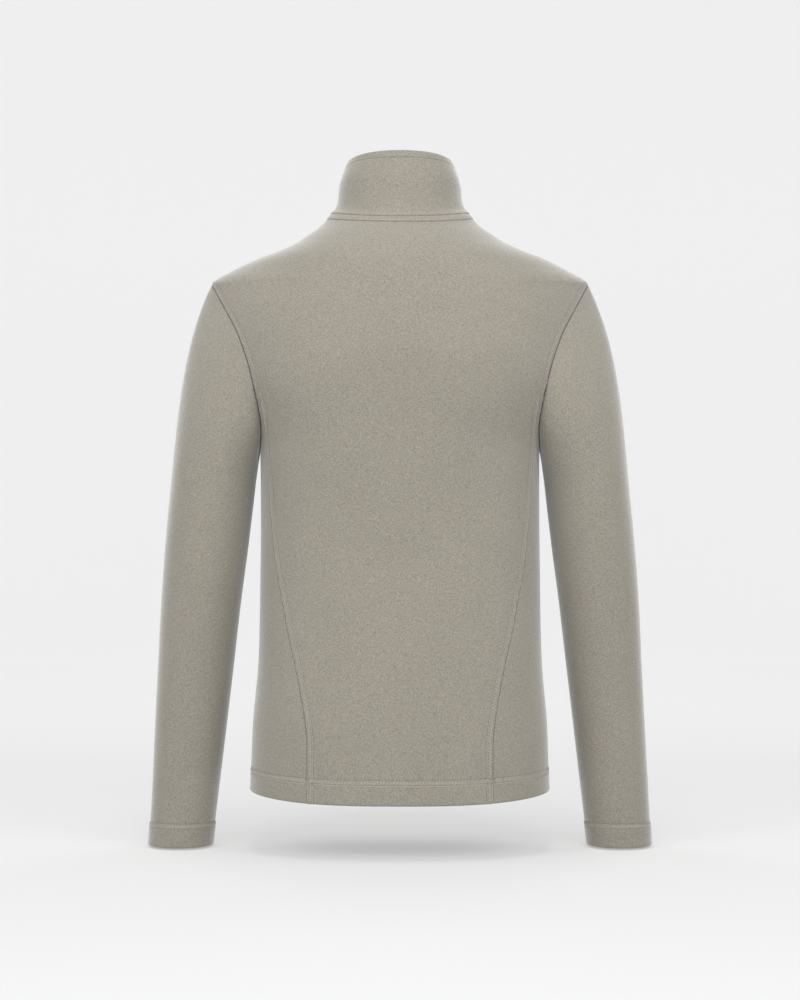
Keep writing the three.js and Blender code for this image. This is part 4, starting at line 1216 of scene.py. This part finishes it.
class JACKET_OT_sewing(bpy.types.Operator):
    """Sew the cover stitches along the seams, hems and cuffs, and the topstitching"""

    bl_idname = "jacket.sewing"
    bl_label = "Sewing"

    def execute(self, context):
        step = sizes().stitch / MM
        hem = sizes().hem / MM
        near, far = NEEDLE_NEAR, NEEDLE_NEAR + sizes().needles / MM
        join = armhole_around(JOIN, False)
        over_back = armhole_point(np.linspace(join, HALF_TURN, 300))
        over_front = armhole_point(np.linspace(2 * HALF_TURN - join, HALF_TURN, 300))
        for name, side in (("left", 1), ("right", -1)):
            flip = np.array([side, 1, 1])
            runs = (
                ("back_cloth", LINES["back_seam_" + name], "back_seam"),
                (f"front_{name}_cloth", LINES["front_seam_" + name], "front_seam"),
                ("back_cloth", over_back * flip, "back_armhole"),
                (f"front_{name}_cloth", over_front * flip, "front_armhole"),
            )
            for cloth, line, label in runs:
                surface = OUTSIDES[cloth]
                way = self.inward(line, surface)
                stitches, strands = cover_stitch(line, near * way, far * way, surface)
                sewn(f"{label}_stitches_{name}", stitches, strands)
            surface = OUTSIDES[f"sleeve_{name}_cloth"]
            around = np.linspace(0, 2 * HALF_TURN, 400)
            rows = []
            for rise in HEM_NEEDLES:
                ring = sleeve_section(around, np.full(400, CUFF + hem + rise)) * flip
                rows.append(resting(along_line(ring, step), surface))
            strands = cover_threads(*rows, surface)
            sewn(f"cuff_stitches_{name}", needle_row(rows[0]) + needle_row(rows[1]), strands)
            zip_line = LINES["zip_" + name]
            surface = OUTSIDES[f"front_{name}_cloth"]
            way = self.inward(zip_line[:-20], surface)
            rail = beside(along_line(zip_line[:-18], step), ZIP_NEEDLE * way, surface)
            sewn(f"zip_stitches_{name}", needle_row(rail), [])
        self.hem_rows(step, hem)
        self.collar_rows(step)
        return {"FINISHED"}

    @staticmethod
    def inward(line, surface, facing=None):
        """1 or -1: which way across a line lies the cloth."""
        middle = line[len(line) // 2 - 1 : len(line) // 2 + 2]
        moved = [beside(middle, 4.0 * way, surface, facing)[1][0] for way in (1, -1)]
        start = Vector(middle[1]) * MM
        return 1 if (moved[0] - start).length > (moved[1] - start).length else -1

    def hem_rows(self, step, hem):
        spans = {
            "back_cloth": (-back_seam(HEM), back_seam(HEM)),
            "side_left_cloth": (back_seam(HEM), front_seam(HEM)),
            "side_right_cloth": (-front_seam(HEM), -back_seam(HEM)),
            "front_left_cloth": (front_seam(HEM), HALF_TURN - 0.02),
            "front_right_cloth": (-HALF_TURN + 0.02, -front_seam(HEM)),
        }
        for cloth, (start, stop) in spans.items():
            turns = np.linspace(start, stop, 300)
            rows = []
            for rise in (hem + needle for needle in HEM_NEEDLES):
                line = hem_lifted(body_point(turns, np.full(300, HEM + rise)))
                rows.append(resting(along_line(line, step)[1:-1], OUTSIDES[cloth]))
            name = cloth.replace("cloth", "hem_stitches")
            sewn(name, needle_row(rows[0]) + needle_row(rows[1]), cover_threads(*rows, OUTSIDES[cloth]))

    def collar_rows(self, step):
        neck = LINES["neck"]
        spans = (
            ("back_cloth", -SIDE, SIDE),
            ("front_left_cloth", SIDE, 3.0),
            ("front_right_cloth", -3.0, -SIDE),
        )
        for cloth, start, stop in spans:
            turns = np.linspace(start, stop, 260)
            line = along_line(neck_point(turns), step)[1:-1]
            surface = OUTSIDES[cloth]
            way = self.inward(line, surface)
            stitches = needle_row(beside(line, (BAND - 1.5) * way, surface))
            sewn(cloth.replace("cloth", "neck_stitches"), stitches, [])
        shares = np.linspace(-0.95, 0.95, 500)
        rim = collar_place(shares, np.full(500, RIM_ROW))
        surface = OUTSIDES["collar_cloth"]
        line = along_line(rim, step)
        down = [(Vector(p) + Vector((0, 0, -COLLAR_EDGE))) * MM for p in line]
        rail = resting(np.array([list(p / MM) for p in down]), surface)
        stitches = needle_row(rail)
        for side in (1, -1):
            rises = np.linspace(0.03, 0.9, 200)
            edge = collar_place(np.full(200, side * 1.0), rises)
            forward = np.array([0, -1, 0])
            way = self.inward(edge, surface, forward)
            stitches += needle_row(beside(along_line(edge, step), ZIP_NEEDLE * way, surface, forward))
        sewn("collar_stitches", stitches, [])


def zip_path():
    """The zip's middle line, from the hem to the collar's rim."""
    low = PANEL_ROWS[PANEL_ROWS > ZIP_FOOT - 11]
    front = front_place(np.zeros(len(low)), low)
    collar = collar_place(np.ones(len(COLLAR_RISES)), COLLAR_RISES)
    line = np.concatenate([front, collar])
    line[:, 0] = 0
    return line


def zip_frames(line):
    along = unit(np.gradient(line, axis=0))
    outward_y = unit(np.cross(along, np.array([1.0, 0, 0])))
    outward_y *= np.where(outward_y[:, 1:2] > 0, -1, 1)
    return along, outward_y


def tape_points(side):
    """A zip tape's grid: across it from the teeth to its outer edge, rows up the zip."""
    across = np.array([0.7, 2.3, 3.2, 4.5, 6.5, 8.5, 10.5, 12.5, 13.6, 14.0])
    half = mix(RIM_HALF, NECK_HALF, collar_spread(COLLAR_RISES))
    columns = []
    for x in across:
        share = max(0, (x - ZIP_EDGE) / (ZIP_SEWN - ZIP_EDGE)) * ZIP_STRAIGHT
        front = front_place(np.full(len(PANEL_ROWS), share), PANEL_ROWS)
        turn = HALF_TURN - np.arcsin(np.maximum(x, ZIP_EDGE) / half)
        collar_share = turn / (HALF_TURN - np.arcsin(ZIP_EDGE / half))
        line = np.concatenate([front, collar_place(collar_share, COLLAR_RISES)])
        line[:, 0] = x
        columns.append(line)
    grid = np.stack(columns, axis=1)
    normals = outward(grid, grid_normals(grid), np.zeros(3))
    grid = grid - normals * TAPE_DEPTH
    return grid if side > 0 else side_reflected(grid)


def tooth_template():
    """A moulded tooth: a bar across the zip with a rounded head."""
    bm = bmesh.new()
    bmesh.ops.create_cube(bm, size=1)
    bmesh.ops.scale(bm, vec=Vector(TOOTH) * MM, verts=bm.verts)
    heads = [v for v in bm.verts if v.co.x > 0]
    bmesh.ops.scale(bm, vec=(1, 0.8, 1.15), verts=heads)
    bmesh.ops.bevel(
        bm, geom=bm.edges, offset=0.22 * MM, segments=1, affect="EDGES", profile=0.5, material=-1
    )
    return bm


def hard_copy(name, node, material, width):
    """A metal piece on its solid's form, with its edges eased."""
    bm = bmesh.new()
    bm.from_mesh(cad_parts[node].data)
    bmesh.ops.remove_doubles(bm, verts=bm.verts, dist=1e-6)
    bmesh.ops.dissolve_limit(bm, angle_limit=math.radians(3), verts=bm.verts, edges=bm.edges)
    sharp = [e for e in bm.edges if len(e.link_faces) == 2 and e.calc_face_angle() > math.radians(35)]
    bmesh.ops.bevel(
        bm,
        geom=sharp,
        offset=width * MM,
        segments=2,
        affect="EDGES",
        profile=0.5,
        material=-1,
        clamp_overlap=True,
    )
    piece = new_object(name, bm, material, 30)
    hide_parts(node)
    return piece


class JACKET_OT_zip(bpy.types.Operator):
    """Fit the front zip: tapes, teeth, lower box, slider and pull"""

    bl_idname = "jacket.zip"
    bl_label = "Zip"

    def execute(self, context):
        for name, side in (("left", 1), ("right", -1)):
            grid = tape_points(side)
            middle = grid * np.array([0, 0, 1])
            normals = outward(grid, grid_normals(grid), middle)
            plain = np.zeros(grid.shape[:2])
            piece = clothed(f"zip_tape_{name}_woven", [(grid, normals, plain)], 0.5, woven_tape)
            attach(piece, "jacket")
            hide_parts(f"zip_tape_{name}")
        self.teeth()
        slider = hard_copy("zip_slider_cast", "zip_slider", lacquered_zinc, 0.3)
        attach(slider, "jacket")
        box = hard_copy("zip_box_cast", "zip_box", lacquered_zinc, 0.3)
        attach(box, "jacket")
        pull = hard_copy("zip_pull_cast", "zip_pull", lacquered_zinc, 0.2)
        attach(pull, "pull")
        return {"FINISHED"}

    def teeth(self):
        line = zip_path()
        line = line[(line[:, 2] > ZIP_FOOT + 0.6) & (line[:, 2] < ZIP_TOP)]
        path = along_line(line, sizes().tooth / MM / 2)
        along, out = zip_frames(path)
        matrices = []
        for i, p in enumerate(path):
            side = 1 if i % 2 else -1
            centre = Vector(p - out[i] * TOOTH_DEPTH + np.array([side * TOOTH_REACH, 0, 0])) * MM
            x, z = Vector((-side, 0, 0)), Vector(along[i])
            y = z.cross(x)
            turn = Matrix((x, y, z)).transposed().to_4x4()
            matrices.append(Matrix.Translation(centre) @ turn)
        piece = copies_joined("zip_teeth", tooth_template(), matrices, moulded_nylon, 30)
        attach(piece, "jacket")
        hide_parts("zip_chain")


def cove_profile():
    """The cove's outline from the floor's middle, round its bend and up the wall."""
    floor = (CUFF - 2) * MM
    bend, radius, height = 1.2, 5.0, 4.5
    points = [(0.0, floor), (0.6, floor), (1.6, floor), (radius - bend, floor)]
    for step in range(1, 13):
        angle = SIDE * step / 12
        points.append((radius - bend + bend * math.sin(angle), floor + bend * (1 - math.cos(angle))))
    points.append((radius, height))
    return points


class JACKET_OT_stage(bpy.types.Operator):
    """Set the round cove, the soft lights and the camera behind the jacket"""

    bl_idname = "jacket.stage"
    bl_label = "Stage"

    def execute(self, context):
        bm = bmesh.new()
        verts = [bm.verts.new((0, y, z)) for y, z in cove_profile()]
        edges = [bm.edges.new(pair) for pair in zip(verts[:-1], verts[1:])]
        bmesh.ops.spin(
            bm,
            geom=verts + edges,
            cent=(0, 0, 0),
            axis=(0, 0, 1),
            angle=2 * HALF_TURN,
            steps=96,
            use_merge=True,
        )
        bmesh.ops.remove_doubles(bm, verts=bm.verts, dist=1e-6)
        bmesh.ops.recalc_face_normals(bm, faces=bm.faces)
        bmesh.ops.reverse_faces(bm, faces=bm.faces)
        cove = new_object("acrylic_cove", bm, backlit_acrylic, 60)
        self.lights()
        self.camera()
        return {"FINISHED"}

    def lights(self):
        scene = bpy.context.scene
        world = bpy.data.worlds.new("studio")
        world.use_nodes = True
        sky = world.node_tree.nodes["Background"]
        sky.inputs["Color"].default_value = (1, 1, 1, 1)
        sky.inputs["Strength"].default_value = SKY_GLOW
        scene.world = world
        scene.view_settings.view_transform = "Standard"
        lamps = (
            ("overhead", (0, 1.0, 2.1), (0, 0, -0.6), 0.8, 18),
            ("camera_side", (0, 3.2, 1.6), (0, 0, -0.1), 1.8, 32),
            ("back_left", (1.6, 2.0, 1.2), (0, 0, 0.0), 1.2, 20),
            ("back_right", (-1.6, 2.0, 1.2), (0, 0, 0.0), 1.2, 20),
            ("front_left", (1.5, -2.1, 1.5), (0, 0, 0.0), 1.4, 15),
            ("front_right", (-1.5, -2.1, 1.5), (0, 0, 0.0), 1.4, 15),
        )
        for name, place, target, size, power in lamps:
            data = bpy.data.lights.new(name, "AREA")
            data.shape, data.size, data.energy = "DISK", size, power
            lamp = bpy.data.objects.new(name, data)
            lamp.location = place
            way = Vector(target) - Vector(place)
            lamp.rotation_euler = way.to_track_quat("-Z", "Y").to_euler()
            scene.collection.objects.link(lamp)

    def camera(self):
        data = bpy.data.cameras.new("camera")
        data.lens, data.sensor_width = LENS, 36
        camera = bpy.data.objects.new("camera", data)
        camera.location = (0, CAMERA_AWAY, CAMERA_HEIGHT)
        camera.rotation_euler = (SIDE, 0, HALF_TURN)
        bpy.context.scene.collection.objects.link(camera)
        bpy.context.scene.camera = camera


class JACKET_PT_panel(bpy.types.Panel):
    """Lists the jacket's steps, sizes and colours"""

    bl_idname = "JACKET_PT_panel"
    bl_label = "Fleece zip jacket"
    bl_space_type = "VIEW_3D"
    bl_region_type = "UI"
    bl_category = "Jacket"

    def draw(self, context):
        for operator in OPERATORS:
            self.layout.operator(operator.bl_idname)
        for group in (sizes(), colours()):
            for name in group.__annotations__:
                self.layout.prop(group, name)


OPERATORS = (
    JACKET_OT_stage,
    JACKET_OT_body,
    JACKET_OT_sleeves,
    JACKET_OT_collar,
    JACKET_OT_sewing,
    JACKET_OT_zip,
)
CLASSES = (JacketSizes, JacketColours, *OPERATORS, JACKET_PT_panel)


def register():
    for cls in CLASSES:
        bpy.utils.register_class(cls)
    bpy.types.Scene.jacket_sizes = bpy.props.PointerProperty(type=JacketSizes)
    bpy.types.Scene.jacket_colours = bpy.props.PointerProperty(type=JacketColours)


def unregister():
    del bpy.types.Scene.jacket_colours
    del bpy.types.Scene.jacket_sizes
    for cls in reversed(CLASSES):
        bpy.utils.unregister_class(cls)


def main():
    register()
    for operator in OPERATORS:
        group, name = operator.bl_idname.split(".")
        getattr(getattr(bpy.ops, group), name)()


if __name__ == "__main__":
    main()
